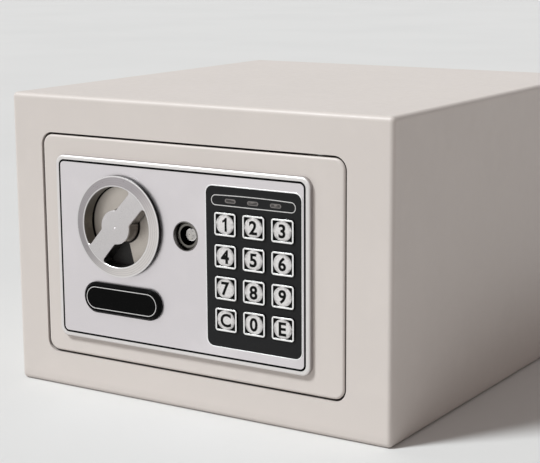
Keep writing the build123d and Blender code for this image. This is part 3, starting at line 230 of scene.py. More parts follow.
class Shape(Graph):
    """A Geometry Nodes tree with named sizes, which ends in a realised mesh with its material."""

    def __init__(self, name, *labels):
        super().__init__(bpy.data.node_groups.new(name, "GeometryNodeTree"))
        face = self.tree.interface
        kinds = {label: "NodeSocketFloat" for label in labels}
        kinds["Finish"] = "NodeSocketMaterial"
        self.ids = {
            label: face.new_socket(label, in_out="INPUT", socket_type=kind).identifier
            for label, kind in kinds.items()
        }
        face.new_socket("Mesh", in_out="OUTPUT", socket_type="NodeSocketGeometry")
        self.given = self.tree.nodes.new("NodeGroupInput").outputs

    def finish(self, *meshes):
        """Joins the meshes, realises them and gives them the material."""
        joined = self.node("GeometryNodeJoinGeometry")
        for mesh in meshes:
            self.tree.links.new(mesh, joined.inputs[0])
        real = self.node("GeometryNodeRealizeInstances", Geometry=joined.outputs[0])
        coated = self.node(
            "GeometryNodeSetMaterial", Geometry=real.outputs[0], Material=self.given["Finish"],
        )
        self.tree.links.new(coated.outputs[0], self.tree.nodes.new("NodeGroupOutput").inputs[0])
        return self

    def bead(self, width, height, corner, line_w, line_up, line_down, bow=0.0, cuts=1):
        """A raised line along a rounded rectangle, its outer edge on it and its top bowed."""
        path = self.node(
            "GeometryNodeCurvePrimitiveQuadrilateral",
            Width=self.less(width, line_w), Height=self.less(height, line_w),
        )
        inner = self.less(corner, self.times(line_w, 0.5))
        path = self.node(
            "GeometryNodeFilletCurve", mode="POLY", Curve=path.outputs[0], Count=8, Radius=inner,
            Limit_Radius=True,
        )
        path = self.node("GeometryNodeSubdivideCurve", Curve=path.outputs[0], Cuts=cuts)
        x, y, _ = self.parts(self.node("GeometryNodeInputPosition").outputs[0])
        share = self.math("DIVIDE", x, self.times(width, 0.5))
        rise = self.less(1.0, self.times(share, share))
        rise = self.times(self.times(rise, bow), self.math("GREATER_THAN", y, 0.0))
        path = self.node(
            "GeometryNodeSetPosition", Geometry=path.outputs[0],
            Offset=self.node("ShaderNodeCombineXYZ", Y=rise).outputs[0],
        )
        path = self.node("GeometryNodeSetCurveNormal", mode="Z_UP", Curve=path.outputs[0])
        tall = self.plus(line_up, line_down)
        section = self.node("GeometryNodeCurvePrimitiveQuadrilateral", Width=line_w, Height=tall)
        section = self.node(
            "GeometryNodeFilletCurve", mode="POLY", Curve=section.outputs[0], Count=3,
            Radius=self.math("MINIMUM", self.times(line_up, 0.8), self.times(tall, 0.4)),
            Limit_Radius=True,
        )
        swept = self.node(
            "GeometryNodeCurveToMesh", Curve=path.outputs[0], Profile_Curve=section.outputs[0],
        )
        lift = self.times(self.less(line_up, line_down), 0.5)
        return self.moved(swept.outputs[0], Z=lift)

    def dome(self, radius, up, down, crown, sides=48, rings=6):
        """A disc whose top falls away to its edge by a crown."""
        disc = self.node(
            "GeometryNodeMeshCylinder", Vertices=sides, Side_Segments=1, Fill_Segments=rings,
            Radius=radius, Depth=self.plus(up, down),
        )
        disc = self.moved(disc.outputs[0], Z=self.times(self.less(up, down), 0.5))
        x, y, z = self.parts(self.node("GeometryNodeInputPosition").outputs[0])
        squares = self.plus(self.times(x, x), self.times(y, y))
        share = self.math("DIVIDE", squares, self.times(radius, radius))
        fall = self.times(self.times(share, crown), self.math("GREATER_THAN", z, 0.0))
        return self.node(
            "GeometryNodeSetPosition", Geometry=disc,
            Offset=self.node("ShaderNodeCombineXYZ", Z=self.less(0.0, fall)).outputs[0],
        ).outputs[0]

    def moved(self, mesh, **by):
        """A mesh shifted along X, Y or Z."""
        offset = self.node("ShaderNodeCombineXYZ", **by).outputs[0]
        return self.node("GeometryNodeTransform", Geometry=mesh, Translation=offset).outputs[0]

    def block(self, *sides):
        """A box of three sides about the origin."""
        corner = self.node("ShaderNodeCombineXYZ", **dict(zip("XYZ", sides))).outputs[0]
        return self.node("GeometryNodeMeshCube", Size=corner).outputs[0]

    def make(self, name, place, faces_back, surface, body, slot, **sizes):
        """Runs the tree, and puts its mesh at a place with its Z towards the front or the back."""
        holder = bpy.data.objects.new(name, bpy.data.meshes.new(name))
        run = holder.modifiers.new("shape", "NODES")
        run.node_group = self.tree
        for label, value in sizes.items():
            run[self.ids[label.replace("_", " ")]] = value
        run[self.ids["Finish"]] = surface.mat
        bpy.context.scene.collection.objects.link(holder)
        ready = holder.evaluated_get(bpy.context.evaluated_depsgraph_get())
        mesh = bpy.data.meshes.new_from_object(ready)
        bpy.data.objects.remove(holder)
        turn = Matrix.Rotation(-pi / 2 if faces_back else pi / 2, 4, "X")
        mesh.transform(Matrix.Translation(place) @ turn)
        return fitted(name, mesh, body)


def fitted(name, mesh, body):
    """A piece from a finished mesh, smooth but for its sharp edges, on its body."""
    for polygon in mesh.polygons:
        polygon.use_smooth = True
    mesh.set_sharp_from_angle(angle=radians(35))
    made = bpy.data.objects.new(name, mesh)
    bpy.context.scene.collection.objects.link(made)
    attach(made, body)
    return made


class Surface(Graph):
    """A Principled material with procedural textures read in object coordinates."""

    def __init__(self, name, colour, rough, metal=0.0, **sockets):
        self.mat = bpy.data.materials.new(name)
        self.mat.use_nodes = True
        super().__init__(self.mat.node_tree)
        self.shader = self.tree.nodes["Principled BSDF"]
        self.coords = self.tree.nodes.new("ShaderNodeTexCoord").outputs["Object"]
        self.colour = colour
        self.set("Base Color", (*colour, 1))
        self.set("Roughness", rough)
        self.set("Metallic", metal)
        for socket, value in sockets.items():
            self.set(socket.replace("_", " "), value)

    def set(self, socket, value):
        self.shader.inputs[socket].default_value = value

    def scaled(self, stretch):
        """Object coordinates stretched along each axis."""
        return self.node("ShaderNodeMapping", Vector=self.coords, Scale=stretch).outputs["Vector"]

    def noise(self, per_metre, detail=3.0, stretch=(1, 1, 1), distortion=0.0):
        made = self.node(
            "ShaderNodeTexNoise", Vector=self.scaled(stretch), Scale=per_metre, Detail=detail,
            Distortion=distortion,
        )
        return made.outputs["Fac"]

    def cells(self, per_metre):
        made = self.node("ShaderNodeTexVoronoi", Vector=self.scaled((1, 1, 1)), Scale=per_metre)
        return made.outputs["Distance"]

    def waves(self, per_metre, axis, distortion=0.0):
        made = self.node(
            "ShaderNodeTexWave", bands_direction=axis, Vector=self.coords, Scale=per_metre,
            Distortion=distortion,
        )
        return made.outputs["Fac"]

    def span(self, value, low, high, to_low=0.0, to_high=1.0, smooth=False):
        """Maps a value between two ends, held at each."""
        made = self.node("ShaderNodeMapRange", clamp=True)
        if smooth:
            made.interpolation_type = "SMOOTHSTEP"
        for socket, given in zip(made.inputs, (value, low, high, to_low, to_high)):
            self.feed(socket, given)
        return made.outputs["Result"]

    def axis(self, name):
        """One object coordinate, in metres."""
        return self.parts(self.coords)[name]

    def radius(self, centre):
        """Distance in metres from an axis along Y through a centre."""
        dx = self.less(self.axis("X"), centre.x)
        dz = self.less(self.axis("Z"), centre.z)
        squares = self.plus(self.times(dx, dx), self.times(dz, dz))
        return self.math("POWER", squares, 0.5)

    def turning(self, centre):
        """Fine rings round an axis along Y through a centre."""
        return self.math("SINE", self.times(self.radius(centre), 6000.0))

    def paint(self, other, mask):
        """Lays another colour over what the base colour is so far, by a mask."""
        mix = self.node("ShaderNodeMix", data_type="RGBA")
        base = self.shader.inputs["Base Color"]
        self.feed(mix.inputs[0], mask)
        self.feed(mix.inputs[6], base.links[0].from_socket if base.links else tuple(base.default_value))
        self.feed(mix.inputs[7], (*other, 1))
        self.tree.links.new(mix.outputs[2], base)
        return self

    def shade(self, factor, mask):
        """Darkens or lightens the starting colour by a factor, by a mask."""
        return self.paint(tuple(min(c * factor, 1.0) for c in self.colour), mask)

    def rough(self, value, low, high):
        """Roughness that runs between two values with a texture."""
        self.tree.links.new(self.span(value, 0.25, 0.75, low, high), self.shader.inputs["Roughness"])
        return self

    def bump(self, height, depth):
        """Bump of a depth in metres, on top of any that is there already."""
        made = self.node("ShaderNodeBump", Strength=1.0, Distance=depth, Height=height)
        normal = self.shader.inputs["Normal"]
        if normal.links:
            self.tree.links.new(normal.links[0].from_socket, made.inputs["Normal"])
        self.tree.links.new(made.outputs["Normal"], normal)
        return self


def powder_coat(name, colour, rough=(0.40, 0.52), peel=900, depth=0.012 * MM):
    """Baked powder paint: orange peel, faint mottling and specks."""
    s = Surface(name, colour, rough[0])
    s.shade(0.985, s.span(s.noise(22, 4), 0.42, 0.62, smooth=True))
    s.shade(1.015, s.span(s.noise(60, 2), 0.55, 0.75))
    s.shade(0.93, s.span(s.noise(2600, 1), 0.66, 0.78))
    s.rough(s.noise(240, 3), *rough)
    s.bump(s.noise(peel, 2), depth)
    s.bump(s.cells(2 * peel), depth / 2)
    return s


def plated_steel(name, colour=(0.60, 0.60, 0.585), rough=(0.24, 0.40)):
    """Zinc plate: a fine crystal spangle with a slightly yellow bloom."""
    s = Surface(name, colour, rough[0], 1.0)
    s.paint((0.66, 0.62, 0.50), s.span(s.noise(45, 3), 0.50, 0.85))
    s.shade(0.82, s.span(s.cells(420), 0.35, 0.75))
    s.rough(s.noise(520, 3), *rough)
    s.bump(s.noise(1800, 2), 0.006 * MM)
    return s


def turned_steel(name, axis, colour=(0.66, 0.66, 0.65), lines=900):
    """Steel with fine turning lines across an axis."""
    s = Surface(name, colour, 0.22, 1.0)
    s.shade(0.86, s.span(s.waves(lines, axis, 1.5), 0.3, 0.9))
    s.rough(s.noise(300, 3), 0.16, 0.30)
    s.bump(s.waves(lines, axis, 1.0), 0.008 * MM)
    return s


def satin_metal(
    name, colour, rough=(0.28, 0.38), grain=(1, 1, 1), metal=1.0, fleck=0.93, depth=0.004 * MM,
):
    """Satin silver: fine metallic flecks, optionally drawn out along an axis."""
    s = Surface(name, colour, rough[0], metal)
    s.shade(fleck, s.span(s.noise(1500, 2, grain), 0.40, 0.70))
    s.shade(1.05, s.span(s.noise(30, 3), 0.50, 0.75, smooth=True))
    s.rough(s.noise(700, 3, grain), *rough)
    s.bump(s.noise(2400, 2, grain), depth)
    return s


def moulding(name, colour, rough=(0.38, 0.52), grain=1400, depth=0.015 * MM, **sockets):
    """Moulded plastic: fine spark-eroded grain and faint handling marks."""
    s = Surface(name, colour, rough[0], **sockets)
    s.shade(1.35, s.span(s.noise(38, 4), 0.52, 0.80, smooth=True))
    s.shade(0.80, s.span(s.cells(grain), 0.30, 0.70))
    s.rough(s.noise(190, 4), *rough)
    s.bump(s.cells(grain), depth)
    return s


# Materials of the record's slots

WARM_WHITE = linear(208, 199, 193)
knob_centre = middle("turn_knob")
lock_centre = middle("lock_housing")
lamp_centre = middle("led_lenses")
key_centre = middle("key_5")


def shell_paint():
    """The cabinet's coat, with painted shade darkening it a little at its foot."""
    s = powder_coat("shell_paint", WARM_WHITE)
    s.shade(0.90, s.span(s.axis("Z"), *FOOT_SHADE_Z))
    return s


def door_paint():
    """The door's coat, with painted shade along its edge behind the rounded front, where the gap to the
    frame lies in shadow.
    """
    s = powder_coat("door_paint", WARM_WHITE)
    front, back = (corner[1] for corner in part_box("door_plate"))
    depth = s.axis("Y")
    behind = s.span(depth, *(front + step for step in DOOR_EDGE_FROM_FRONT))
    edge = s.times(behind, s.span(depth, *(back - step for step in DOOR_EDGE_FROM_BACK)))
    # Painted shade: the door's side walls dark, as the shadow in the gap round the door.
    return s.paint(linear(58, 55, 52), edge)


def knob_silver():
    """Satin paint: bar and hub light, the ring turned and deeper with a painted highlight towards its
    lower right and on its edges, its side and the pockets dark with painted shade.
    """
    s = satin_metal("knob_silver", linear(212, 208, 208), (0.26, 0.36))
    radius, depth = s.radius(knob_centre), s.axis("Y")
    ring = s.span(radius, *KNOB_RING)
    s.paint(linear(168, 163, 165), ring)
    # Painted highlight: the ring lighter towards its lower right, where it catches the light.
    right = s.less(s.axis("X"), knob_centre.x)
    down = s.less(knob_centre.z, s.axis("Z"))
    ring_highlight = s.span(s.plus(right, down), *KNOB_RING_HIGHLIGHT, smooth=True)
    s.paint(linear(226, 221, 218), s.times(ring, ring_highlight))
    s.paint(linear(128, 125, 127), s.times(ring, s.span(s.turning(knob_centre), 0.6, 0.9, 0, 0.25)))
    # Painted highlights: bright lines along the ring's inner edge and its outer front edge.
    inner_edge_highlight = s.times(s.span(radius, *KNOB_RING_EDGE), s.span(radius, *KNOB_RING_EDGE_END))
    edges = s.plus(inner_edge_highlight, s.span(radius, *KNOB_RIM_EDGE))
    s.paint(linear(238, 236, 235), s.times(edges, 0.75))
    # Painted shade: the pockets' walls behind the ring's front darker, the tube's wall darkest.
    behind = s.span(depth, *KNOB_BEHIND_Y)
    s.paint(linear(124, 119, 115), s.times(behind, s.span(radius, *KNOB_POCKET_END)))
    wall_shade = s.times(s.span(radius, *KNOB_WALL), s.span(radius, *KNOB_POCKET_END))
    s.paint(linear(98, 95, 90), s.times(behind, wall_shade))
    # Painted shade: the ring's outer side nearly black, as the shadow gap under it.
    side_shade = s.times(s.span(depth, *KNOB_SIDE_Y), s.span(radius, *KNOB_SIDE))
    return s.paint(linear(18, 18, 19), side_shade)


def cup_silver():
    """Light floor, with painted shade where it meets the hub and under the ring's tube."""
    s = satin_metal("cup_silver", linear(222, 214, 205), (0.34, 0.46), metal=0.6)
    radius = s.radius(knob_centre)
    # Painted shade: black in the gap under the ring's tube and round the hub's foot.
    s.paint(linear(14, 13, 12), s.span(radius, *CUP_WALL))
    s.paint(linear(20, 18, 17), s.span(radius, *CUP_HUB_END))
    return s


def plate_black():
    """Near-black gloss with rare pale specks."""
    s = Surface(
        "plate_black", (0.0012, 0.0012, 0.0012), 0.16, Specular_IOR_Level=0.04,
        Coat_Weight=0.03, Coat_Roughness=0.06,
    )
    s.shade(2.2, s.span(s.noise(1600, 2), 0.62, 0.72))
    s.rough(s.noise(120, 4), 0.12, 0.24)
    s.bump(s.noise(700, 2), 0.004 * MM)
    return s


def lock_chrome():
    """Polished mouth, with painted shade and dark reflection black down the funnel, a brighter step and
    a dark bore.
    """
    s = Surface("lock_chrome", linear(132, 129, 127), 0.12, 1.0)
    radius, depth = s.radius(lock_centre), s.axis("Y")
    # Painted shade and dark reflection: black deeper down the funnel and bore, lighter again on the
    # step face.
    s.paint(linear(14, 13, 12), s.span(depth, *FUNNEL_Y))
    step = s.times(s.span(radius, *STEP_END), s.span(depth, *STEP_END_Y))
    s.paint(linear(120, 117, 112), step)
    s.rough(s.noise(400, 3), 0.08, 0.18)
    s.bump(s.waves(900, "Y", 0.5), 0.003 * MM)
    return s


def bezel_silver():
    """Satin moulding whose outer walls carry painted shade, darker than its rounded front."""
    s = satin_metal(
        "bezel_silver", linear(222, 218, 216), (0.36, 0.46), metal=0.6, fleck=0.98, depth=0.0015 * MM
    )
    # Painted shade: the outer walls behind the rounded front darker, damping their highlight.
    s.paint(linear(168, 163, 162), s.span(s.axis("Y"), *BEZEL_WALL_Y))
    return s


def plug_steel():
    """Brushed plug face with a bright rim and a pitted middle."""
    s = plated_steel("plug_steel", linear(204, 200, 197), (0.22, 0.34))
    radius = s.radius(lock_centre)
    s.paint(linear(240, 237, 235), s.span(radius, *PLUG_RIM))
    pits = s.times(s.span(s.cells(900), 0.30, 0.18), s.span(radius, *PLUG_PITS_END))
    s.paint(linear(112, 109, 106), pits)
    return s


def coil_copper():
    """Wound wire in even turns."""
    s = Surface("coil_copper", (0.55, 0.24, 0.10), 0.30, 1.0)
    s.shade(0.45, s.span(s.waves(420, "Z"), 0.5, 0.95))
    s.rough(s.noise(500, 2), 0.22, 0.38)
    s.bump(s.waves(420, "Z"), 0.12 * MM)
    return s


def board_green():
    """Solder mask over copper tracks, with plated holes."""
    s = Surface("board_green", (0.020, 0.115, 0.050), 0.28, Coat_Weight=0.3)
    tracks = s.node(
        "ShaderNodeTexBrick", Scale=90.0,
        Vector=s.node("ShaderNodeMapping", Vector=s.coords, Rotation=(pi / 2, 0, 0)).outputs[0],
    )
    tracks.inputs["Mortar Size"].default_value = 0.035
    s.paint((0.045, 0.22, 0.09), tracks.outputs["Fac"])
    s.paint((0.75, 0.72, 0.62), s.span(s.cells(260), 0.16, 0.12))
    s.rough(s.noise(200, 3), 0.22, 0.36)
    s.bump(tracks.outputs["Fac"], 0.03 * MM)
    return s


def cell_jacket():
    """Foil sleeves, plain, with a lighter band at one end."""
    s = Surface("cell_jacket", (0.025, 0.030, 0.042), 0.22, 0.7)
    s.paint((0.50, 0.49, 0.46), s.span(s.axis("X"), *CELL_BAND_X))
    s.shade(1.5, s.span(s.noise(80, 3), 0.5, 0.8))
    s.rough(s.noise(300, 3), 0.18, 0.32)
    s.bump(s.noise(160, 2), 0.05 * MM)
    return s


def mat_felt():
    """Pressed fibres, light and dark, in two directions."""
    s = Surface("mat_felt", (0.055, 0.056, 0.060), 0.95, Sheen_Weight=0.5, Sheen_Roughness=0.6)
    s.shade(2.1, s.span(s.noise(900, 4, (1, 0.25, 1), 1.5), 0.50, 0.80))
    s.shade(0.5, s.span(s.noise(1100, 4, (0.25, 1, 1), 1.5), 0.52, 0.80))
    s.bump(s.noise(1000, 4, (1, 0.4, 1), 2.0), 0.35 * MM)
    return s


def key_silver():
    """Brushed discs, mottled and with painted shade deeper towards their edges, and plain bright rims.
    """
    s = satin_metal("key_silver", linear(240, 237, 236), (0.24, 0.40), fleck=0.86)
    across = s.math("PINGPONG", s.less(s.axis("X"), key_centre.x), KEY_PITCH_X / 2)
    up = s.math("PINGPONG", s.less(s.axis("Z"), key_centre.z), KEY_PITCH_Z / 2)
    squares = s.plus(s.times(across, across), s.times(up, up))
    # Painted shade, broken by mottling: each disc darker towards its edge, next to the rim.
    edge = s.span(s.math("POWER", squares, 0.5), *DISC_EDGE, smooth=True)
    s.paint(linear(168, 165, 164), s.times(edge, s.span(s.noise(420, 3, (1, 1, 1), 0.8), 0.35, 0.60)))
    rim = s.math("MAXIMUM", s.span(across, *KEY_RIM_ACROSS), s.span(up, *KEY_RIM_UP))
    return s.paint(linear(252, 251, 250), rim)


def lens_grey():
    """Smoked lenses, each with a lighter rim."""
    s = Surface("lens_grey", linear(118, 113, 111), 0.22, Specular_IOR_Level=0.2, Coat_Weight=0.15)
    up = s.math("ABSOLUTE", s.less(s.axis("Z"), lamp_centre.z))
    along = s.math("PINGPONG", s.less(s.axis("X"), lamp_centre.x), LAMP_PITCH / 2)
    inner = s.times(s.span(up, *LENS_MIDDLE_UP), s.span(along, *LENS_MIDDLE_ALONG))
    s.paint(linear(66, 63, 62), inner)
    s.paint(linear(120, 114, 110), s.times(s.span(s.noise(1300, 2, (0.3, 1, 1)), 0.52, 0.66), inner))
    s.bump(s.noise(1500, 1), 0.01 * MM)
    return s


def bush_brass():
    """Turned brass."""
    s = Surface("bush_brass", (0.62, 0.43, 0.17), 0.25, 1.0)
    s.shade(0.8, s.span(s.noise(300, 3), 0.4, 0.7))
    s.bump(s.waves(700, "Y"), 0.006 * MM)
    return s


SURFACES = {
    "shell_paint": shell_paint(),
    "door_paint": door_paint(),
    "back_paint": powder_coat("back_paint", linear(205, 199, 193)),
    "cover_paint": powder_coat("cover_paint", linear(178, 174, 171), (0.42, 0.56)),
    "zinc_steel": plated_steel("zinc_steel"),
    "bolt_steel": turned_steel("bolt_steel", "X"),
    "plug_steel": plug_steel(),
    "bezel_silver": bezel_silver(),
    "face_silver": satin_metal(
        "face_silver", linear(227, 222, 224), (0.30, 0.40), (1, 1, 14), fleck=0.96,
    ),
    "seam_black": moulding("seam_black", (0.003, 0.003, 0.003), (0.5, 0.65), Specular_IOR_Level=0.04),
    "knob_silver": knob_silver(),
    "cup_silver": cup_silver(),
    "mark_black": moulding("mark_black", linear(44, 42, 41), (0.45, 0.6)),
    "plate_black": plate_black(),
    "keypad_black": moulding(
        "keypad_black", linear(22, 22, 23), (0.42, 0.55), 1700, 0.02 * MM, Specular_IOR_Level=0.2,
    ),
    "key_silver": key_silver(),
    "lens_grey": lens_grey(),
    "lock_chrome": lock_chrome(),
    "bush_brass": bush_brass(),
    "coil_copper": coil_copper(),
    "board_green": board_green(),
    "part_dark": moulding("part_dark", (0.022, 0.022, 0.025), (0.35, 0.5)),
    "lid_black": moulding("lid_black", (0.030, 0.030, 0.032), (0.42, 0.58), 900, 0.03 * MM),
    "cell_jacket": cell_jacket(),
    "reset_red": moulding("reset_red", linear(168, 30, 26), (0.28, 0.4)),
    "mat_felt": mat_felt(),
}
LEGEND_BLACK = moulding("legend_black", (0.004, 0.004, 0.004), (0.35, 0.5), Specular_IOR_Level=0.1)
KEY_BLACK = moulding("key_black", (0.003, 0.003, 0.003), (0.4, 0.55), Specular_IOR_Level=0.08)
PRINT_GREY = moulding("print_grey", linear(206, 203, 201), (0.35, 0.5), 2200, 0.004 * MM)
# The keypad's raised edge, near white as a painted highlight of the sheet's edge catching light.
TRIM_HIGHLIGHT = satin_metal("trim_silver", linear(244, 243, 242), (0.16, 0.26), metal=0.3)

for part in frame["record"]["subparts"]:
    mesh = nodes[part["node"]].data
    mesh.materials.clear()
    mesh.materials.append(SURFACES[part["material_slot"]].mat)
for legend in "123456789c0e":
    nodes["key_" + legend].data.materials[0] = KEY_BLACK.mat


# Key faces: a silver rim and domed disc on each key, and its black legend

def key_face_shape():
    """A rim with a domed disc inside it."""
    s = Shape(
        "key_face", "Width", "Height", "Corner", "Rim width", "Rim up", "Rim down",
        "Disc radius", "Disc up", "Disc down", "Disc crown", "Disc oval",
    )
    g = s.given
    rim = s.bead(g["Width"], g["Height"], g["Corner"], g["Rim width"], g["Rim up"], g["Rim down"])
    disc = s.dome(g["Disc radius"], g["Disc up"], g["Disc down"], g["Disc crown"])
    oval = s.node("ShaderNodeCombineXYZ", X=1.0, Y=g["Disc oval"], Z=1.0).outputs[0]
    disc = s.node("GeometryNodeTransform", Geometry=disc, Scale=oval).outputs[0]
    return s.finish(rim, disc)


def legend_mesh(text, height, place):
    """A bold character that faces the front, scaled to a height."""
    if text == "1":
        curve = bpy.data.curves.new(text, "CURVE")
        curve.dimensions = "2D"
        curve.fill_mode = "BOTH"
        line = curve.splines.new("POLY")
        line.points.add(len(FLAGGED_ONE) - 1)
        for point, (x, y) in zip(line.points, FLAGGED_ONE):
            point.co = (x, y, 0, 1)
        line.use_cyclic_u = True
    else:
        curve = bpy.data.curves.new(text, "FONT")
        curve.body = text
        curve.offset = LEGEND_BOLD
        curve.resolution_u = LEGEND_STEPS
    curve.extrude = 0.5
    holder = bpy.data.objects.new(text, curve)
    bpy.context.scene.collection.objects.link(holder)
    mesh = bpy.data.meshes.new_from_object(holder.evaluated_get(bpy.context.evaluated_depsgraph_get()))
    bpy.data.objects.remove(holder)
    bm = bmesh.new()
    bm.from_mesh(mesh)
    bmesh.ops.remove_doubles(bm, verts=bm.verts, dist=LEGEND_MERGE)
    bmesh.ops.dissolve_degenerate(bm, edges=bm.edges, dist=LEGEND_MERGE)
    bmesh.ops.recalc_face_normals(bm, faces=bm.faces)
    bm.to_mesh(mesh)
    bm.free()
    xs, ys = ([v.co[i] for v in mesh.vertices] for i in (0, 1))
    scale = height / (max(ys) - min(ys))
    centred = Matrix.Translation((-(max(xs) + min(xs)) / 2, -(max(ys) + min(ys)) / 2, 0.5))
    sized = Matrix.Diagonal((scale, scale, LEGEND_T, 1))
    mesh.transform(Matrix.Translation(place) @ Matrix.Rotation(pi / 2, 4, "X") @ sized @ centred)
    mesh.materials.append(LEGEND_BLACK.mat)
    return mesh


face_shape = key_face_shape()
for legend in "123456789C0E":
    node = "key_" + legend.lower()
    body = "cap_" + legend.lower()
    spot = middle(node)
    spot.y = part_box(node)[0][1] + DISC_UP - DISC_SKIN
    face_shape.make(
        node + "_face", spot, False, SURFACES["key_silver"], body, "key_silver",
        Width=size(node).x - 2 * KEY_FLANGE, Height=size(node).z - 2 * KEY_FLANGE, Corner=KEY_CORNER_R,
        Rim_width=RIM_W, Rim_up=RIM_UP, Rim_down=RIM_DOWN,
        Disc_radius=DISC_W / 2, Disc_up=DISC_UP, Disc_down=RIM_DOWN, Disc_crown=DISC_UP - DISC_SKIN,
        Disc_oval=DISC_H / DISC_W,
    )
    spot.y -= DISC_UP
    fitted(node + "_legend", legend_mesh(legend, LEGEND_H, spot), body)


# Raised lines on the keypad, round it and on the name plate

def raised_line_shape():
    """A line round a rectangle, its top bowed if asked."""
    s = Shape("raised_line", "Width", "Height", "Corner", "Line width", "Line up", "Line down", "Bow")
    return s.finish(s.bead(*(s.given[i] for i in range(7)), cuts=6))


line_shape = raised_line_shape()
lamps = middle("led_lenses")
lamps.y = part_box("keypad_plate")[0][1]
lamps.z -= LAMP_BAR_DROP
line_shape.make(
    "lamp_bar_line", lamps, False, PRINT_GREY, "door", "key_silver",
    Width=LAMP_BAR_W, Height=LAMP_BAR_H, Corner=LAMP_BAR_H / 2 - LAMP_CORNER_SPARE,
    Line_width=LAMP_LINE_W, Line_up=LINE_UP, Line_down=LINE_UP, Bow=LAMP_BAR_BOW,
)
# Raised edge round the keypad, its near-white colour a painted highlight.
spot = middle("keypad_plate")
spot.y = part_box("panel_sheet")[0][1]
line_shape.make(
    "keypad_trim", spot, False, TRIM_HIGHLIGHT, "door", "bezel_silver",
    Width=size("keypad_plate").x + 2 * TRIM_GROW, Height=size("keypad_plate").z + 2 * TRIM_GROW,
    Corner=TRIM_CORNER_R, Line_width=TRIM_GROW, Line_up=TRIM_UP, Line_down=LINE_UP, Bow=0.0,
)
spot = middle("name_plate")
spot.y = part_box("name_plate")[0][1] + NAME_GROOVE
plate = size("name_plate")
line_shape.make(
    "name_plate_line", spot, False, PRINT_GREY, "door", "key_silver",
    Width=plate.x - 2 * NAME_LINE_INSET, Height=plate.z - 2 * NAME_LINE_INSET,
    Corner=plate.z / 2 - NAME_LINE_INSET - NAME_CORNER_SPARE, Line_width=NAME_LINE_W,
    Line_up=NAME_GROOVE + NAME_LINE_PROUD, Line_down=LINE_UP, Bow=0.0,
)


# Cross-head screws of the rear cover

def cross_screw_shape():
    """Four domed heads with a cross recess, each on its shank."""
    s = Shape(
        "cross_screw", "Head radius", "Head height", "Crown", "Shank radius", "Shank length",
        "Cross span", "Cross width", "Cross depth", "Spread X", "Spread Y",
    )
    g = s.given
    head = s.dome(g["Head radius"], g["Head height"], 0.0, g["Crown"], 32, 5)
    deep = s.times(g["Cross depth"], 2.0)
    cut = s.node("GeometryNodeMeshBoolean", operation="DIFFERENCE", solver="EXACT")
    s.feed(cut.inputs["Mesh 1"], head)
    for sides in ((g["Cross span"], g["Cross width"], deep), (g["Cross width"], g["Cross span"], deep)):
        s.feed(cut.inputs["Mesh 2"], s.moved(s.block(*sides), Z=g["Head height"]))
    shank = s.dome(g["Shank radius"], 0.0, g["Shank length"], 0.0, 16, 1)
    whole = s.node("GeometryNodeJoinGeometry")
    for mesh in (cut.outputs[0], shank):
        s.feed(whole.inputs[0], mesh)
    spots = s.node(
        "GeometryNodeMeshGrid", Size_X=g["Spread X"], Size_Y=g["Spread Y"], Vertices_X=2, Vertices_Y=2,
    )
    placed = s.node("GeometryNodeInstanceOnPoints", Points=spots.outputs[0], Instance=whole.outputs[0])
    return s.finish(placed.outputs[0])


spot = middle("cover_screws")
lo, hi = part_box("cover_screws")
spot.y = hi[1] - SCREW_HEAD_T
screws = cross_screw_shape().make(
    "cover_screw_heads", spot, True, SURFACES["zinc_steel"], "door", "zinc_steel",
    Head_radius=SCREW_HEAD_R, Head_height=SCREW_HEAD_T, Crown=SCREW_CROWN, Shank_radius=SCREW_SHANK_R,
    Shank_length=spot.y - lo[1], Cross_span=CROSS_SPAN, Cross_width=CROSS_W, Cross_depth=CROSS_DEPTH,
    Spread_X=hi[0] - lo[0] - 2 * SCREW_HEAD_R, Spread_Y=hi[2] - lo[2] - 2 * SCREW_HEAD_R,
)
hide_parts("cover_screws")


# Stage, lights and camera

def stage_floor():
    """The plain floor of the studio."""
    bm = bmesh.new()
    bmesh.ops.create_grid(bm, x_segments=4, y_segments=4, size=FLOOR_HALF)
    mesh = bpy.data.meshes.new("stage_floor")
    bm.to_mesh(mesh)
    bm.free()
    floor = bpy.data.objects.new("stage_floor", mesh)
    floor.location.z = -FLOOR_DROP
    bpy.context.scene.collection.objects.link(floor)
    s = Surface("stage_floor", (0.72, 0.71, 0.70), 0.7, Specular_IOR_Level=0.2)
    s.shade(0.97, s.span(s.noise(3, 4), 0.4, 0.7))
    mesh.materials.append(s.mat)


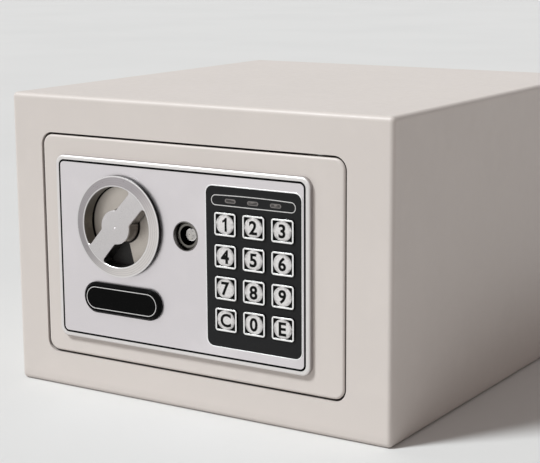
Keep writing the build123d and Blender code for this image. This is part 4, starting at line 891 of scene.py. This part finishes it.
def world_light():
    """Even light for diffuse rays, and a pale room for camera, glossy and transmission rays."""
    world = bpy.data.worlds.new("studio")
    bpy.context.scene.world = world
    world.use_nodes = True
    tree = world.node_tree
    tree.nodes.clear()
    path = tree.nodes.new("ShaderNodeLightPath")
    seen = path.outputs["Is Camera Ray"]
    for other in ("Is Glossy Ray", "Is Transmission Ray"):
        either = tree.nodes.new("ShaderNodeMath")
        either.operation = "MAXIMUM"
        tree.links.new(seen, either.inputs[0])
        tree.links.new(path.outputs[other], either.inputs[1])
        seen = either.outputs[0]
    soft = tree.nodes.new("ShaderNodeBackground")
    soft.inputs["Color"].default_value = (*AMBIENT_TINT, 1)
    soft.inputs["Strength"].default_value = AMBIENT
    pale = tree.nodes.new("ShaderNodeBackground")
    pale.inputs["Color"].default_value = (*ROOM_TINT, 1)
    mix = tree.nodes.new("ShaderNodeMixShader")
    out = tree.nodes.new("ShaderNodeOutputWorld")
    tree.links.new(seen, mix.inputs[0])
    tree.links.new(soft.outputs[0], mix.inputs[1])
    tree.links.new(pale.outputs[0], mix.inputs[2])
    tree.links.new(mix.outputs[0], out.inputs[0])


def lamp(name, kind, energy, towards, **settings):
    """A lamp that shines along a direction."""
    data = bpy.data.lights.new(name, kind)
    data.energy = energy
    for key, value in settings.items():
        setattr(data, key, value)
    made = bpy.data.objects.new(name, data)
    made.rotation_mode = "QUATERNION"
    made.rotation_quaternion = Vector(towards).to_track_quat("-Z", "Y")
    bpy.context.scene.collection.objects.link(made)


def camera():
    """The photograph's camera."""
    back = Vector((
        sin(CAM_YAW) * cos(CAM_PITCH), -cos(CAM_YAW) * cos(CAM_PITCH), sin(CAM_PITCH)
    ))
    right = (-back).cross(Vector((0, 0, 1))).normalized()
    up = right.cross(-back)
    turned_right = right * cos(CAM_ROLL) + up * sin(CAM_ROLL)
    turned_up = up * cos(CAM_ROLL) - right * sin(CAM_ROLL)
    data = bpy.data.cameras.new("camera")
    data.sensor_width = SENSOR_W
    data.lens = CAM_FOCAL_PX / PHOTO_W_PX * SENSOR_W
    made = bpy.data.objects.new("camera", data)
    turn = Matrix((turned_right, turned_up, back)).transposed()
    made.matrix_world = Matrix.Translation(CAM_LOOK + back * CAM_DISTANCE) @ turn.to_4x4()
    bpy.context.scene.collection.objects.link(made)
    bpy.context.scene.camera = made


stage_floor()
world_light()
lamp("key_light", "SUN", SUN_STRENGTH, SUN_TOWARDS, angle=SUN_WIDTH, color=SUN_TINT)
camera()
bpy.context.scene.view_settings.view_transform = "Standard"
